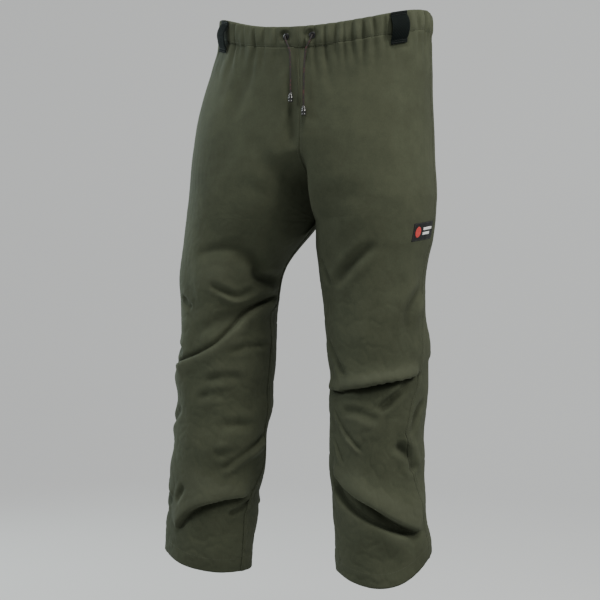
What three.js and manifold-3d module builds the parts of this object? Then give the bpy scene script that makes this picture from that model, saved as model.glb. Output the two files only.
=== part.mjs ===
// Protective overtrousers for chainsaw work: an elasticated, pull-on outer pair in woven cloth with a
// drawcord, webbing belt loops and a stack of cut-resistant layers behind the front of each leg.
//
// Millimetres, +Z up, the front faces -Y and the wearer's left is +X. The origin is the middle of the
// waist, level with the top of the band at the sides. Heights are given as drops below that level.
//
// Each half of the garment is one tube of cloth that ends at the centre seam above the crotch and closes
// on itself below it. Every cloth layer is cut from the same columns and rows, so layers stay parallel.

import * as THREE from 'three';
import { mergeVertices } from 'three/addons/utils/BufferGeometryUtils.js';
import Module from 'manifold-3d';

const wasm = await Module();
wasm.setup();

// Fits between pieces
const SEAM_GAP = 0.3;          // between edges that are sewn together
const LAYER_GAP = 0.3;         // between layers that lie on each other
const CORD_FREEDOM = 1.5;      // round the drawcord in its tunnel
const HARDWARE_FIT = 0.35;     // round the metal and plastic fittings

// Overall shape
const WAIST_HALF_WIDTH = 198;
const WAIST_HALF_DEPTH = 148;
const WAIST_FRONT_DIP = 40;    // how far the band is pulled down at the centre front
const RISE = 377;              // waist to crotch
const HIP_DROP = 200;
const THIGH_DROP = 466;
const KNEE_DROP = 620;
const CALF_DROP = 840;
const HEM_DROP = 1024;

const FORK_X = -12;            // where the centre seam reaches the crotch, across the body
const FORK_ROUNDNESS = 2.2;    // higher keeps the centre seam upright for longer
const SEAM_DRIFT = 3;          // of the centre seam at the hip, towards the wearer's left

// Half widths and depths. The wearer stands on a straight left leg, with the right leg out to the side.
const HIP_HALF_WIDTH = { left: 200, right: 250 };
const FORK_HALF_WIDTH = { left: 111, right: 126 };   // of one leg tube where it starts
const THIGH_HALF_WIDTH = 98;
const KNEE_HALF_WIDTH = 91;
const CALF_HALF_WIDTH = 87;
const HEM_HALF_WIDTH = 85;
const HIP_DEPTH = { front: 152, back: 152 };
const FORK_DEPTH = { front: 136, back: 116 };
const THIGH_DEPTH = { front: 115, back: 96 };
const KNEE_DEPTH = { front: 104, back: 79 };
const CALF_DEPTH = { front: 88, back: 80 };
const HEM_DEPTH = { front: 76, back: 78 };

// Middle of each leg across the body
const THIGH_X = { left: 94, right: -181 };
const KNEE_X = { left: 104, right: -190 };
const CALF_X = { left: 99, right: -212 };
const HEM_X = { left: 112, right: -231 };

// Height of each hem over HEM_DROP: its mean, then waves once and twice round the leg, each a cosine and
// a sine of the angle from the inseam
const HEM_WAVES = {
  left: { mean: 13, once: [-14, -12.5], twice: [10, 11] },
  right: { mean: 11, once: [-15, -2.5], twice: [3.5, -2.5] },
};

// Cloth and layers
const CLOTH = 1.2;
const PAD_LAYER = 1.6;
const PAD_LAYERS = 4;
const LINING = 0.6;
const PAD_RISE_ABOVE_CROTCH = 177;
const PAD_STOP_ABOVE_HEM = 50;
const LINING_STOP_ABOVE_HEM = 25;

// Waistband, elastic and drawcord
const BAND_HEIGHT = 38;
const BAND_WALL = 0.9;
const ELASTIC_HEIGHT = 32;
const ELASTIC_THICKNESS = 1.4;
const CORD_RADIUS = 1.6;
const CORD_SIDES = 8;
const EYELET_SPACING = 48.6;
const EYELET_FLANGE_RADIUS = 6;
const EYELET_FLANGE = 0.6;
const EYELET_WALL = 0.7;
const EYELET_WASHER = 0.5;
const TAIL_STANDOFF = 2.1;     // from the eyelet's face to the point that the tail swings about
const TAIL_TOP = 0.9;          // how far the tail reaches above that point

// Cord ends
const CORD_END_RADIUS = 4.4;
const CORD_END_LENGTH = 16.5;
const CORD_END_PLUG = 3.2;
const CORD_IN_END = 8;

// Belt loops
const LOOP_WIDTH = 34;
const LOOP_TOP_DROP = 1.5;
const LOOP_LENGTH = 60;
const LOOP_TAB = 9;
const LOOP_CLEARANCE = 9;
const LOOP_RAMP = 8;
const WEBBING = 2;
const FRONT_LOOP_ANGLE = 55.5;  // degrees round the waist from the centre front

// Labels
const THIGH_LABEL = { width: 62, height: 32, thickness: 0.9, drop: 399, tilt: 9, fromOutseam: 5 };
const CARE_LABEL = { width: 34, height: 55, thickness: 0.5, tuck: 10 };

// Cutting grid
const COLUMNS = 16;            // round one half, centre front to centre back
const OUTSEAM = COLUMNS / 2;
const WAIST_ROWS = 4;
const FORK_ROWS = 5;
const THIGH_ROWS = 3;
const KNEE_ROWS = 3;
const CALF_ROWS = 3;
const HEM_ROWS = 3;

const LEFT = { word: 'left', sign: 1 };
const RIGHT = { word: 'right', sign: -1 };
const SIDES = [LEFT, RIGHT];

// Value at a drop, on a smooth curve through [drop, value] stations
function along(stations, drop) {
  const last = stations.length - 1;
  let k = 0;
  while (k < last - 1 && drop > stations[k + 1][0]) k += 1;
  const slope = (i) => {
    const a = stations[Math.max(0, i - 1)];
    const b = stations[Math.min(last, i + 1)];
    return (b[1] - a[1]) / (b[0] - a[0]);
  };
  const [d0, v0] = stations[k];
  const [d1, v1] = stations[k + 1];
  const span = d1 - d0;
  const u = THREE.MathUtils.clamp((drop - d0) / span, 0, 1);
  const u2 = u * u;
  const u3 = u2 * u;
  return v0 * (2 * u3 - 3 * u2 + 1) + v1 * (3 * u2 - 2 * u3)
    + span * (slope(k) * (u3 - 2 * u2 + u) + slope(k + 1) * (u3 - u2));
}

const WAIST_DROP = BAND_HEIGHT;  // the band is upright, and the body widens from its lower edge
const forkReach = (side) => 2 * FORK_HALF_WIDTH[side.word];
const bodyWidth = (side) => [[WAIST_DROP, WAIST_HALF_WIDTH], [HIP_DROP, HIP_HALF_WIDTH[side.word]],
  [RISE, forkReach(side)]];
const legWidth = (side) => [[RISE, FORK_HALF_WIDTH[side.word]], [THIGH_DROP, THIGH_HALF_WIDTH],
  [KNEE_DROP, KNEE_HALF_WIDTH], [CALF_DROP, CALF_HALF_WIDTH], [HEM_DROP, HEM_HALF_WIDTH]];
const legX = (side) => [[RISE, FORK_X + side.sign * FORK_HALF_WIDTH[side.word]],
  [THIGH_DROP, THIGH_X[side.word]], [KNEE_DROP, KNEE_X[side.word]],
  [CALF_DROP, CALF_X[side.word]], [HEM_DROP, HEM_X[side.word]]];
const seamX = [[WAIST_DROP, 0], [HIP_DROP, SEAM_DRIFT], [RISE, FORK_X]];
const depth = (face) => [[WAIST_DROP, WAIST_HALF_DEPTH], [HIP_DROP, HIP_DEPTH[face]],
  [RISE, FORK_DEPTH[face]], [THIGH_DROP, THIGH_DEPTH[face]],
  [KNEE_DROP, KNEE_DEPTH[face]], [CALF_DROP, CALF_DEPTH[face]],
  [HEM_DROP, HEM_DEPTH[face]]];

const smooth = (u) => THREE.MathUtils.smootherstep(u, 0, 1);

// Angle at which the half tube stops at the centre seam: a right angle at the waist, nothing at the crotch
function forkAngle(drop) {
  const u = THREE.MathUtils.clamp((drop - WAIST_DROP) / (RISE - WAIST_DROP), 0, 1);
  return (Math.PI / 2) * Math.sqrt(1 - u ** FORK_ROUNDNESS);
}

// Middle and half width of a side's section at a drop, across the body
function sectionAcross(side, drop) {
  if (drop >= RISE) return { cx: along(legX(side), drop), rx: along(legWidth(side), drop) };
  const fork = Math.cos(forkAngle(drop));
  const rx = along(bodyWidth(side), drop) / (1 + fork);
  return { cx: along(seamX, drop) + side.sign * rx * fork, rx };
}

// Rise of the hem at an angle round the leg
function hemRise(side, angle) {
  const { mean, once, twice } = HEM_WAVES[side.word];
  const wave = ([cosine, sine], turns) => cosine * Math.cos(turns * angle) + sine * Math.sin(turns * angle);
  return mean + wave(once, 1) + wave(twice, 2);
}

// Point of the outer cloth surface at a column (0 centre front, COLUMNS centre back) and a drop
function clothPoint(side, column, drop) {
  const d = Math.max(WAIST_DROP, drop);
  const start = forkAngle(d);
  const angle = start + (column / COLUMNS) * (2 * Math.PI - 2 * start);
  const { cx, rx } = sectionAcross(side, d);
  const face = Math.sin(angle) > 0 ? 'front' : 'back';
  const front = Math.max(0, Math.sin(angle));
  const dip = WAIST_FRONT_DIP * front * front * (1 - smooth((d - WAIST_DROP) / (RISE - WAIST_DROP)));
  const lift = hemRise(side, angle) * smooth((d - KNEE_DROP) / (HEM_DROP - KNEE_DROP));
  return new THREE.Vector3(
    cx + side.sign * (SEAM_GAP / 2 - rx * Math.cos(angle)),
    -along(depth(face), d) * Math.sin(angle),
    -drop - dip + lift,
  );
}

// Outward unit normal of the cloth, from short steps along the surface; level in the band and at its edge
function clothNormal(side, column, drop) {
  const step = 0.01;
  const low = Math.max(0, column - step);
  const high = Math.min(COLUMNS, column + step);
  const round = clothPoint(side, high, drop).sub(clothPoint(side, low, drop));
  const from = drop < WAIST_DROP + 1 ? drop - 1 : drop;
  const down = clothPoint(side, column, from + 1).sub(clothPoint(side, column, from));
  return round.cross(down).multiplyScalar(-side.sign).normalize();
}

// Point at a distance inside the outer surface
function inside(side, column, drop, inset) {
  return clothPoint(side, column, drop).addScaledVector(clothNormal(side, column, drop), -inset);
}

// Rows of the cutting grid, closest together round the fork, where the centre seam turns under
function rowsOfDrops() {
  const rows = [];
  const span = (from, to, count, ease) => {
    for (let k = 0; k < count; k += 1) rows.push(from + (to - from) * ease(k / count));
  };
  const even = (u) => u;
  const closing = (u) => 1 - (1 - u) ** 2;
  span(BAND_HEIGHT, HIP_DROP, WAIST_ROWS, even);
  span(HIP_DROP, RISE, FORK_ROWS, closing);
  span(RISE, THIGH_DROP, THIGH_ROWS, even);
  span(THIGH_DROP, KNEE_DROP, KNEE_ROWS, even);
  span(KNEE_DROP, CALF_DROP, CALF_ROWS, even);
  span(CALF_DROP, HEM_DROP, HEM_ROWS, even);
  rows.push(HEM_DROP);
  return rows;
}
const ROWS = rowsOfDrops();

const range = (from, to) => Array.from({ length: to - from + 1 }, (_, k) => from + k);

// Columns from a to b with every whole column between them, so a patch bends where the cloth does
function columnsBetween(a, b) {
  return [a, ...range(Math.floor(a) + 1, Math.ceil(b) - 1), b];
}

// Point on the flat facets of the cutting grid, at a distance outside them
function onFacet(side, column, drop, outset) {
  const grid = [0, ...ROWS];
  let k = 0;
  while (k < grid.length - 2 && drop > grid[k + 1]) k += 1;
  const v = (drop - grid[k]) / (grid[k + 1] - grid[k]);
  const c = Math.min(COLUMNS - 1, Math.floor(column));
  const u = column - c;
  const at = (i, j) => inside(side, c + i, grid[k + j], -outset);
  const top = at(0, 0).lerp(at(1, 0), u);
  const bottom = at(0, 1).lerp(at(1, 1), u);
  return top.lerp(bottom, v);
}

// Closed solid between an outer and an inner sheet of points, both [row][column]
function slab(outer, inner) {
  const rows = outer.length;
  const columns = outer[0].length;
  const points = [...outer.flat(), ...inner.flat()];
  const index = (sheet, r, c) => (sheet * rows + r) * columns + c;
  const triangles = [];
  const quad = (a, b, c, d) => triangles.push(a, b, c, a, c, d);
  for (let r = 0; r < rows - 1; r += 1) {
    for (let c = 0; c < columns - 1; c += 1) {
      quad(index(0, r, c), index(0, r + 1, c), index(0, r + 1, c + 1), index(0, r, c + 1));
      const [p, q, s, t] = [index(1, r, c), index(1, r, c + 1), index(1, r + 1, c + 1), index(1, r + 1, c)];
      triangles.push(p, s, t, p, q, s);
    }
    quad(index(0, r, 0), index(1, r, 0), index(1, r + 1, 0), index(0, r + 1, 0));
    const c = columns - 1;
    quad(index(0, r, c), index(0, r + 1, c), index(1, r + 1, c), index(1, r, c));
  }
  for (let c = 0; c < columns - 1; c += 1) {
    quad(index(0, 0, c), index(0, 0, c + 1), index(1, 0, c + 1), index(1, 0, c));
    const r = rows - 1;
    quad(index(0, r, c), index(1, r, c), index(1, r, c + 1), index(0, r, c + 1));
  }
  return outwards(points, triangles);
}

// Solid swept along stations, each a closed loop of points; the ends are capped unless the sweep closes
function sweep(loops, capTriangles) {
  const size = loops[0].length;
  const points = loops.flat();
  const triangles = [];
  const count = capTriangles ? loops.length - 1 : loops.length;
  for (let k = 0; k < count; k += 1) {
    const here = k * size;
    const next = ((k + 1) % loops.length) * size;
    for (let i = 0; i < size; i += 1) {
      const j = (i + 1) % size;
      triangles.push(here + i, next + i, next + j, here + i, next + j, here + j);
    }
  }
  if (capTriangles) {
    const end = (loops.length - 1) * size;
    for (const [a, b, c] of capTriangles) triangles.push(a, b, c, end + a, end + c, end + b);
  }
  return outwards(points, triangles);
}

// Geometry from points and triangles, turned so that its faces point out
function outwards(points, triangles) {
  let volume = 0;
  for (let k = 0; k < triangles.length; k += 3) {
    const [a, b, c] = [points[triangles[k]], points[triangles[k + 1]], points[triangles[k + 2]]];
    volume += a.dot(b.clone().cross(c));
  }
  if (volume < 0) {
    for (let k = 0; k < triangles.length; k += 3) {
      [triangles[k + 1], triangles[k + 2]] = [triangles[k + 2], triangles[k + 1]];
    }
  }
  const geometry = new THREE.BufferGeometry();
  const coordinates = points.flatMap((p) => [p.x, p.y, p.z]);
  geometry.setAttribute('position', new THREE.Float32BufferAttribute(coordinates, 3));
  geometry.setIndex(triangles);
  geometry.computeVertexNormals();
  return geometry;
}

// Cloth layer over whole columns and rows, between two depths inside the outer surface
function layer(side, columns, drops, outerInset, innerInset) {
  const sheet = (inset) => drops.map((drop) => columns.map((column) => inside(side, column, drop, inset)));
  return slab(sheet(outerInset), sheet(innerInset));
}

// Patch lying on the outside of the cloth; place(u, v) gives the column and drop of its corners
function patch(side, columns, dropsAt, clearance, thickness) {
  const sheet = (outset) => range(0, dropsAt.length - 1).map(
    (r) => columns.map((column) => onFacet(side, column, dropsAt[r](column), outset)),
  );
  return slab(sheet(clearance + thickness), sheet(clearance));
}

const materials = {
  cloth: { color: 0x41453a, roughness: 0.9, metalness: 0 },
  clothBack: { color: 0x3c4035, roughness: 0.9, metalness: 0 },
  band: { color: 0x43473a, roughness: 0.9, metalness: 0 },
  elastic: { color: 0xd8d6cf, roughness: 0.8, metalness: 0 },
  cord: { color: 0x1f1a19, roughness: 0.75, metalness: 0 },
  cordEnd: { color: 0x0d0d0d, roughness: 0.2, metalness: 0 },
  eyelet: { color: 0x222222, roughness: 0.35, metalness: 0.9 },
  webbing: { color: 0x19201f, roughness: 0.85, metalness: 0 },
  pad: { color: 0xe8e4d8, roughness: 0.95, metalness: 0 },
  lining: { color: 0x2a2d2a, roughness: 0.9, metalness: 0 },
  label: { color: 0x111212, roughness: 0.7, metalness: 0 },
  careLabel: { color: 0xf0f0ec, roughness: 0.6, metalness: 0 },
};

const trousers = new THREE.Group();
trousers.name = 'overtrousers';

function add(name, geometry, finish) {
  const mesh = new THREE.Mesh(geometry, new THREE.MeshStandardMaterial(materials[finish]));
  mesh.name = name;
  trousers.add(mesh);
  return mesh;
}

// Geometry of three.js as a manifold solid
function solidOf(geometry) {
  const bare = geometry.clone();
  bare.deleteAttribute('normal');
  bare.deleteAttribute('uv');
  const merged = mergeVertices(bare, 1e-4);
  const mesh = new wasm.Mesh({
    numProp: 3,
    vertProperties: new Float32Array(merged.attributes.position.array),
    triVerts: new Uint32Array(merged.index.array),
  });
  return new wasm.Manifold(mesh);
}

function geometryOf(solid) {
  const mesh = solid.getMesh();
  const geometry = new THREE.BufferGeometry();
  geometry.setAttribute('position', new THREE.BufferAttribute(mesh.vertProperties, 3));
  geometry.setIndex(new THREE.BufferAttribute(mesh.triVerts, 1));
  geometry.computeVertexNormals();
  return geometry;
}

// ---- Leg panels -------------------------------------------------------------------------------------

// Part of a column that SEAM_GAP / 2 takes up beside the outseam or the inseam
const seamColumn = (SEAM_GAP / 2) / (Math.PI * HEM_HALF_WIDTH / COLUMNS);

function panelDrops() {
  return [BAND_HEIGHT + SEAM_GAP, ...ROWS.slice(1)];
}

function addPanels() {
  for (const side of SIDES) {
    const drops = panelDrops();
    const front = [seamColumn, ...range(1, OUTSEAM - 1), OUTSEAM - seamColumn];
    const back = [OUTSEAM + seamColumn, ...range(OUTSEAM + 1, COLUMNS - 1), COLUMNS - seamColumn];
    add(`front_panel_${side.word}`, layer(side, front, drops, 0, CLOTH), 'cloth');
    add(`back_panel_${side.word}`, layer(side, back, drops, 0, CLOTH), 'clothBack');
  }
}

// ---- Cut-resistant layers and lining ----------------------------------------------------------------

const padInset = (n) => CLOTH + LAYER_GAP + n * (PAD_LAYER + LAYER_GAP);

function addPads() {
  const top = RISE - PAD_RISE_ABOVE_CROTCH;
  const bottom = HEM_DROP - PAD_STOP_ABOVE_HEM;
  const drops = [top, ...ROWS.filter((drop) => drop > top && drop < bottom), bottom];
  for (const side of SIDES) {
    for (let n = 0; n < PAD_LAYERS; n += 1) {
      const geometry = layer(side, range(1, OUTSEAM - 1), drops, padInset(n), padInset(n) + PAD_LAYER);
      add(`cut_layer_${n + 1}_${side.word}`, geometry, 'pad');
    }
  }
}

function addLinings() {
  const inset = padInset(PAD_LAYERS);
  const bottom = HEM_DROP - LINING_STOP_ABOVE_HEM;
  const drops = [...panelDrops().filter((drop) => drop < bottom), bottom];
  for (const side of SIDES) {
    const columns = [seamColumn, ...range(1, OUTSEAM - 1), OUTSEAM - seamColumn];
    add(`lining_${side.word}`, layer(side, columns, drops, inset, inset + LINING), 'lining');
  }
}

// ---- Waistband --------------------------------------------------------------------------------------

// Depths inside the outer surface of what lies in the band's tunnel
const CORD_INSET = BAND_WALL + CORD_FREEDOM + CORD_RADIUS;
const ELASTIC_INSET = CORD_INSET + CORD_RADIUS + CORD_FREEDOM;
const BAND_INNER_INSET = ELASTIC_INSET + ELASTIC_THICKNESS + LAYER_GAP;
const BAND_THICKNESS = BAND_INNER_INSET + BAND_WALL;

// The band's folded section at a column: down-turned U, open at the bottom where it is sewn on
function bandSection(side, column) {
  const corners = [[0, BAND_HEIGHT], [0, 0], [BAND_THICKNESS, 0], [BAND_THICKNESS, BAND_HEIGHT],
    [BAND_INNER_INSET, BAND_HEIGHT], [BAND_INNER_INSET, BAND_WALL], [BAND_WALL, BAND_WALL],
    [BAND_WALL, BAND_HEIGHT]];
  return corners.map(([inset, drop]) => inside(side, column, drop, inset));
}
const BAND_CAP = [[0, 1, 6], [0, 6, 7], [1, 2, 5], [1, 5, 6], [2, 3, 4], [2, 4, 5]];

// Middle of an eyelet on the band's first facet, with the direction that it faces
function eyeletFrame(side) {
  const a = clothPoint(side, 0, 0);
  const b = clothPoint(side, 1, 0);
  const u = (EYELET_SPACING / 2 - Math.abs(a.x)) / Math.abs(b.x - a.x);
  const centre = a.clone().lerp(b, u);
  centre.z -= BAND_HEIGHT / 2;
  const outward = new THREE.Vector3(b.y - a.y, a.x - b.x, 0).normalize();
  if (outward.y > 0) outward.negate();
  return { centre, outward };
}

const EYELET_BORE = CORD_RADIUS + HARDWARE_FIT;
const EYELET_BARREL = EYELET_BORE + EYELET_WALL;
const BAND_HOLE = EYELET_BARREL + HARDWARE_FIT;

// Turn a lathe made along +Y to face a direction, and put its origin at a point
function seat(geometry, point, direction) {
  const turn = new THREE.Quaternion().setFromUnitVectors(new THREE.Vector3(0, 1, 0), direction);
  return geometry.applyQuaternion(turn).translate(point.x, point.y, point.z);
}

function ring(innerRadius, outerRadius, from, to, segments = 20) {
  const profile = [[innerRadius, from], [outerRadius, from], [outerRadius, to], [innerRadius, to],
    [innerRadius, from]];
  return new THREE.LatheGeometry(profile.map(([r, y]) => new THREE.Vector2(r, y)), segments);
}

function addWaistbands() {
  for (const side of SIDES) {
    const band = sweep(range(0, COLUMNS).map((column) => bandSection(side, column)), BAND_CAP);
    const { centre, outward } = eyeletFrame(side);
    const reach = BAND_WALL + CORD_FREEDOM;
    const drill = seat(new THREE.CylinderGeometry(BAND_HOLE, BAND_HOLE, 2 * reach, 20), centre, outward);
    const cut = solidOf(band).subtract(solidOf(drill));
    add(`waistband_${side.word}`, geometryOf(cut), 'band');
  }
}

function addElastic() {
  const top = (BAND_HEIGHT + BAND_WALL - ELASTIC_HEIGHT) / 2;
  const section = (side, column) => [[0, 0], [0, 1], [1, 1], [1, 0]].map(
    ([i, j]) => inside(side, column, top + j * ELASTIC_HEIGHT, ELASTIC_INSET + i * ELASTIC_THICKNESS),
  );
  const leftHalf = range(0, COLUMNS).map((column) => section(LEFT, column));
  const rightHalf = range(0, COLUMNS).reverse().map((column) => section(RIGHT, column));
  add('waist_elastic', sweep([...leftHalf, ...rightHalf], null), 'elastic');
}

function addEyelets() {
  for (const side of SIDES) {
    const { centre, outward } = eyeletFrame(side);
    const back = -(BAND_WALL + HARDWARE_FIT + EYELET_WASHER);
    const front = HARDWARE_FIT + EYELET_FLANGE;
    const profile = [[EYELET_BORE, back], [EYELET_BARREL, back], [EYELET_BARREL, HARDWARE_FIT],
      [EYELET_FLANGE_RADIUS, HARDWARE_FIT], [EYELET_FLANGE_RADIUS - EYELET_FLANGE / 2, front],
      [EYELET_BORE, front], [EYELET_BORE, back]];
    const eyelet = new THREE.LatheGeometry(profile.map(([r, y]) => new THREE.Vector2(r, y)), 20);
    add(`eyelet_${side.word}`, seat(eyelet, centre, outward), 'eyelet');
    const washer = ring(BAND_HOLE, EYELET_FLANGE_RADIUS, back, back + EYELET_WASHER);
    add(`eyelet_washer_${side.word}`, seat(washer, centre, outward), 'eyelet');
  }
}

// ---- Drawcord ---------------------------------------------------------------------------------------

// Smooth route through points that gives every stretch between two points the same number of steps
class RouteCurve extends THREE.CatmullRomCurve3 {
  constructor(points) {
    super(points, false, 'centripetal');
  }

  getUtoTmapping(u) {
    return u;
  }
}

function cordTube(points, stepsPerStretch) {
  const section = new THREE.Shape();
  section.absarc(0, 0, CORD_RADIUS, 0, 2 * Math.PI);
  return new THREE.ExtrudeGeometry(section, {
    steps: (points.length - 1) * stepsPerStretch,
    curveSegments: CORD_SIDES / 2,
    extrudePath: new RouteCurve(points),
  });
}

const eyeletFace = (frame, outset) => frame.centre.clone().addScaledVector(frame.outward, outset);

// The hidden run: in at one eyelet, round the waist in the band's tunnel and out at the other
function addCordRun() {
  const face = HARDWARE_FIT + EYELET_FLANGE;
  const half = (side) => {
    const frame = eyeletFrame(side);
    const middle = (column) => inside(side, column, BAND_HEIGHT / 2, CORD_INSET);
    const firstColumn = middle(1);
    const turnIn = eyeletFace(frame, -CORD_INSET);
    const entry = [eyeletFace(frame, face), eyeletFace(frame, 0), eyeletFace(frame, -CORD_INSET * 0.6)];
    const turned = turnIn.clone().lerp(firstColumn, 0.36);
    return [...entry, turned, ...range(1, COLUMNS).map((column) => middle(column))];
  };
  const route = [...half(LEFT), ...half(RIGHT).reverse().slice(1)];
  add('drawcord_run', cordTube(route, 2), 'cord');
}

// Route of a free tail: distance inwards, in front of the cloth, and down, from the point that it swings about
const TAIL_ROUTE = {
  right: [[1.2, 4.2, 6], [4.5, 5.2, 14], [9.5, 6.2, 25], [11.4, 6.7, 40], [12.2, 7.0, 60], [12.6, 7.0, 80],
    [12.8, 7.0, 101]],
  left: [[1.2, 4.2, 6], [4.5, 5.2, 14], [9.0, 6.2, 25], [10.8, 6.7, 42], [11.6, 7.0, 66], [12.0, 7.0, 96],
    [12.2, 7.0, 125]],
};

// Point in front of the first facet of the cloth, at a place across the body and a height
function frontOfCloth(side, x, z, standoff) {
  const a = onFacet(side, 0, -z, 0);
  const b = onFacet(side, 1, -z, 0);
  return new THREE.Vector3(x, THREE.MathUtils.lerp(a.y, b.y, (x - a.x) / (b.x - a.x)) - standoff, z);
}

function addTails() {
  for (const side of SIDES) {
    const pivot = eyeletFace(eyeletFrame(side), HARDWARE_FIT + EYELET_FLANGE + TAIL_STANDOFF);
    const route = TAIL_ROUTE[side.word].map(([inwards, standoff, down]) => (
      frontOfCloth(side, pivot.x - side.sign * inwards, pivot.z - down, standoff)));
    const mouth = route.at(-1).clone();
    const above = pivot.clone();
    above.z += TAIL_TOP;
    const bottom = mouth.clone();
    bottom.z -= CORD_IN_END;
    add(`drawcord_tail_${side.word}`, cordTube([above, pivot, ...route, bottom], 4), 'cord');
    addCordEnd(side.word, mouth);
  }
}

// Moulded bell with the cord in its bore and a plug pressed in from below
function addCordEnd(word, mouth) {
  const bore = CORD_RADIUS + HARDWARE_FIT;
  const socket = CORD_END_RADIUS - 1.2;
  const deck = -(CORD_IN_END + HARDWARE_FIT);
  const bell = [[bore, 0], [bore, deck], [socket, deck], [socket, -CORD_END_LENGTH],
    [CORD_END_RADIUS - 0.6, -CORD_END_LENGTH], [CORD_END_RADIUS, -CORD_END_LENGTH + 1],
    [CORD_END_RADIUS, -5.5], [CORD_END_RADIUS * 0.86, -2.2], [CORD_END_RADIUS * 0.62, 0], [bore, 0]];
  const plug = [[0, -CORD_END_LENGTH], [socket - HARDWARE_FIT, -CORD_END_LENGTH],
    [socket - HARDWARE_FIT, -CORD_END_LENGTH + CORD_END_PLUG], [0, -CORD_END_LENGTH + CORD_END_PLUG]];
  const turn = (profile) => new THREE.LatheGeometry(profile.map(([r, y]) => new THREE.Vector2(r, y)), 16)
    .rotateX(Math.PI / 2).translate(mouth.x, mouth.y, mouth.z);
  add(`cord_end_${word}`, turn(bell), 'cordEnd');
  add(`cord_end_plug_${word}`, turn(plug), 'cordEnd');
}

// ---- Belt loops -------------------------------------------------------------------------------------

// How far the back of the webbing stands off the cloth, at a distance down the loop
const LOOP_PROFILE = [[0, 0], [LOOP_TAB, 0], [LOOP_TAB + LOOP_RAMP, LOOP_CLEARANCE],
  [LOOP_LENGTH - LOOP_TAB - LOOP_RAMP, LOOP_CLEARANCE], [LOOP_LENGTH - LOOP_TAB, 0], [LOOP_LENGTH, 0]];

function loopColumns(angle) {
  const centre = (angle / 180) * COLUMNS;
  const radians = THREE.MathUtils.degToRad(angle);
  const reach = Math.hypot(WAIST_HALF_WIDTH * Math.cos(radians), WAIST_HALF_DEPTH * Math.sin(radians));
  const half = LOOP_WIDTH / 2 / (reach * Math.PI / COLUMNS);
  return [centre - half, centre + half];
}

// Webbing laid on points at(column step, distance down, outset)
function webbingLoop(across, at) {
  const sheet = (extra) => LOOP_PROFILE.map(([down, standoff]) => across.map(
    (column) => at(column, LOOP_TOP_DROP + down, 2 * LAYER_GAP + standoff + extra),
  ));
  return slab(sheet(WEBBING), sheet(0));
}

function addBeltLoops() {
  for (const side of SIDES) {
    const [from, to] = loopColumns(FRONT_LOOP_ANGLE);
    const place = (column, drop, outset) => onFacet(side, column, drop, outset);
    const loop = webbingLoop(columnsBetween(from, to), place);
    add(`belt_loop_${side.word}`, loop, 'webbing');
  }
  const [from, to] = loopColumns(180);
  const mirrored = (column, drop, outset) => (column > COLUMNS
    ? onFacet(RIGHT, 2 * COLUMNS - column, drop, outset) : onFacet(LEFT, column, drop, outset));
  add('belt_loop_back', webbingLoop(columnsBetween(from, to), mirrored), 'webbing');
}

// ---- Labels -----------------------------------------------------------------------------------------

function addThighLabel() {
  const perColumn = Math.PI * along(legWidth(LEFT), THIGH_LABEL.drop) / OUTSEAM;
  const to = OUTSEAM - THIGH_LABEL.fromOutseam / perColumn;
  const from = to - THIGH_LABEL.width / perColumn;
  const edge = (v) => (column) => THIGH_LABEL.drop + THIGH_LABEL.height * v
    + THIGH_LABEL.tilt * (0.5 - (column - from) / (to - from));
  const columns = columnsBetween(from, to);
  const rows = [edge(-0.5), edge(0), edge(0.5)];
  add('thigh_label', patch(LEFT, columns, rows, 2 * LAYER_GAP, THIGH_LABEL.thickness), 'label');
}

// Blank tag sewn to the inside of the band at the centre back
function addCareLabel() {
  const { width, height, thickness, tuck } = CARE_LABEL;
  const a = inside(LEFT, COLUMNS, BAND_HEIGHT, BAND_THICKNESS);
  const b = inside(LEFT, COLUMNS - 1, BAND_HEIGHT, BAND_THICKNESS);
  const wallY = THREE.MathUtils.lerp(a.y, b.y, (width / 2) / Math.abs(b.x - a.x));
  const geometry = new THREE.BoxGeometry(width, thickness, height);
  geometry.translate(0, wallY - LAYER_GAP - thickness / 2, -BAND_HEIGHT + tuck - height / 2);
  add('care_label', geometry, 'careLabel');
}

addPanels();
addPads();
addLinings();
addWaistbands();
addElastic();
addEyelets();
addCordRun();
addTails();
addBeltLoops();
addThighLabel();
addCareLabel();

export default trousers;
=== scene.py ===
"""Visual model of pull-on overtrousers for chainsaw work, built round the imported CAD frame.

The frame is in metres, +Z up, the front faces -Y and the wearer's left is +X. Shapes are worked out in
millimetres and turned into metres as each mesh is made. A "drop" is a distance below the waist level.
"""

import logging
import math
from dataclasses import dataclass, field
from enum import Enum
from typing import Callable, Sequence

import bpy
import numpy as np
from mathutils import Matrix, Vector


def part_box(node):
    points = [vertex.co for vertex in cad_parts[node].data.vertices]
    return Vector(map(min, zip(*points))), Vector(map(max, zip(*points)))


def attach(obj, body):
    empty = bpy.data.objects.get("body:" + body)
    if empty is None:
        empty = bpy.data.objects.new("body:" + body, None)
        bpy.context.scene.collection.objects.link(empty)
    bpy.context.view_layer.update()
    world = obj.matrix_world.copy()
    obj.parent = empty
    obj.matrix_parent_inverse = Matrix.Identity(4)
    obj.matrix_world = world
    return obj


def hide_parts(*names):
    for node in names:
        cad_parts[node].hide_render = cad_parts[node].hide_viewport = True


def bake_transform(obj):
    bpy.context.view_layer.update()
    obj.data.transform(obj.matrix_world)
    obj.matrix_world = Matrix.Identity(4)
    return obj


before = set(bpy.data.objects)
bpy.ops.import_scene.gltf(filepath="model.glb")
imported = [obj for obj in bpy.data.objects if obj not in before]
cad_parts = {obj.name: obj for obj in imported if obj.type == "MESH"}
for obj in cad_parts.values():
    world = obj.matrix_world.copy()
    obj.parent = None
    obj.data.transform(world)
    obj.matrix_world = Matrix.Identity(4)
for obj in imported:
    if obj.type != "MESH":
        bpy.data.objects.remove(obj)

log = logging.getLogger("overtrousers")
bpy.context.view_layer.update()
MM = 0.001
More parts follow.
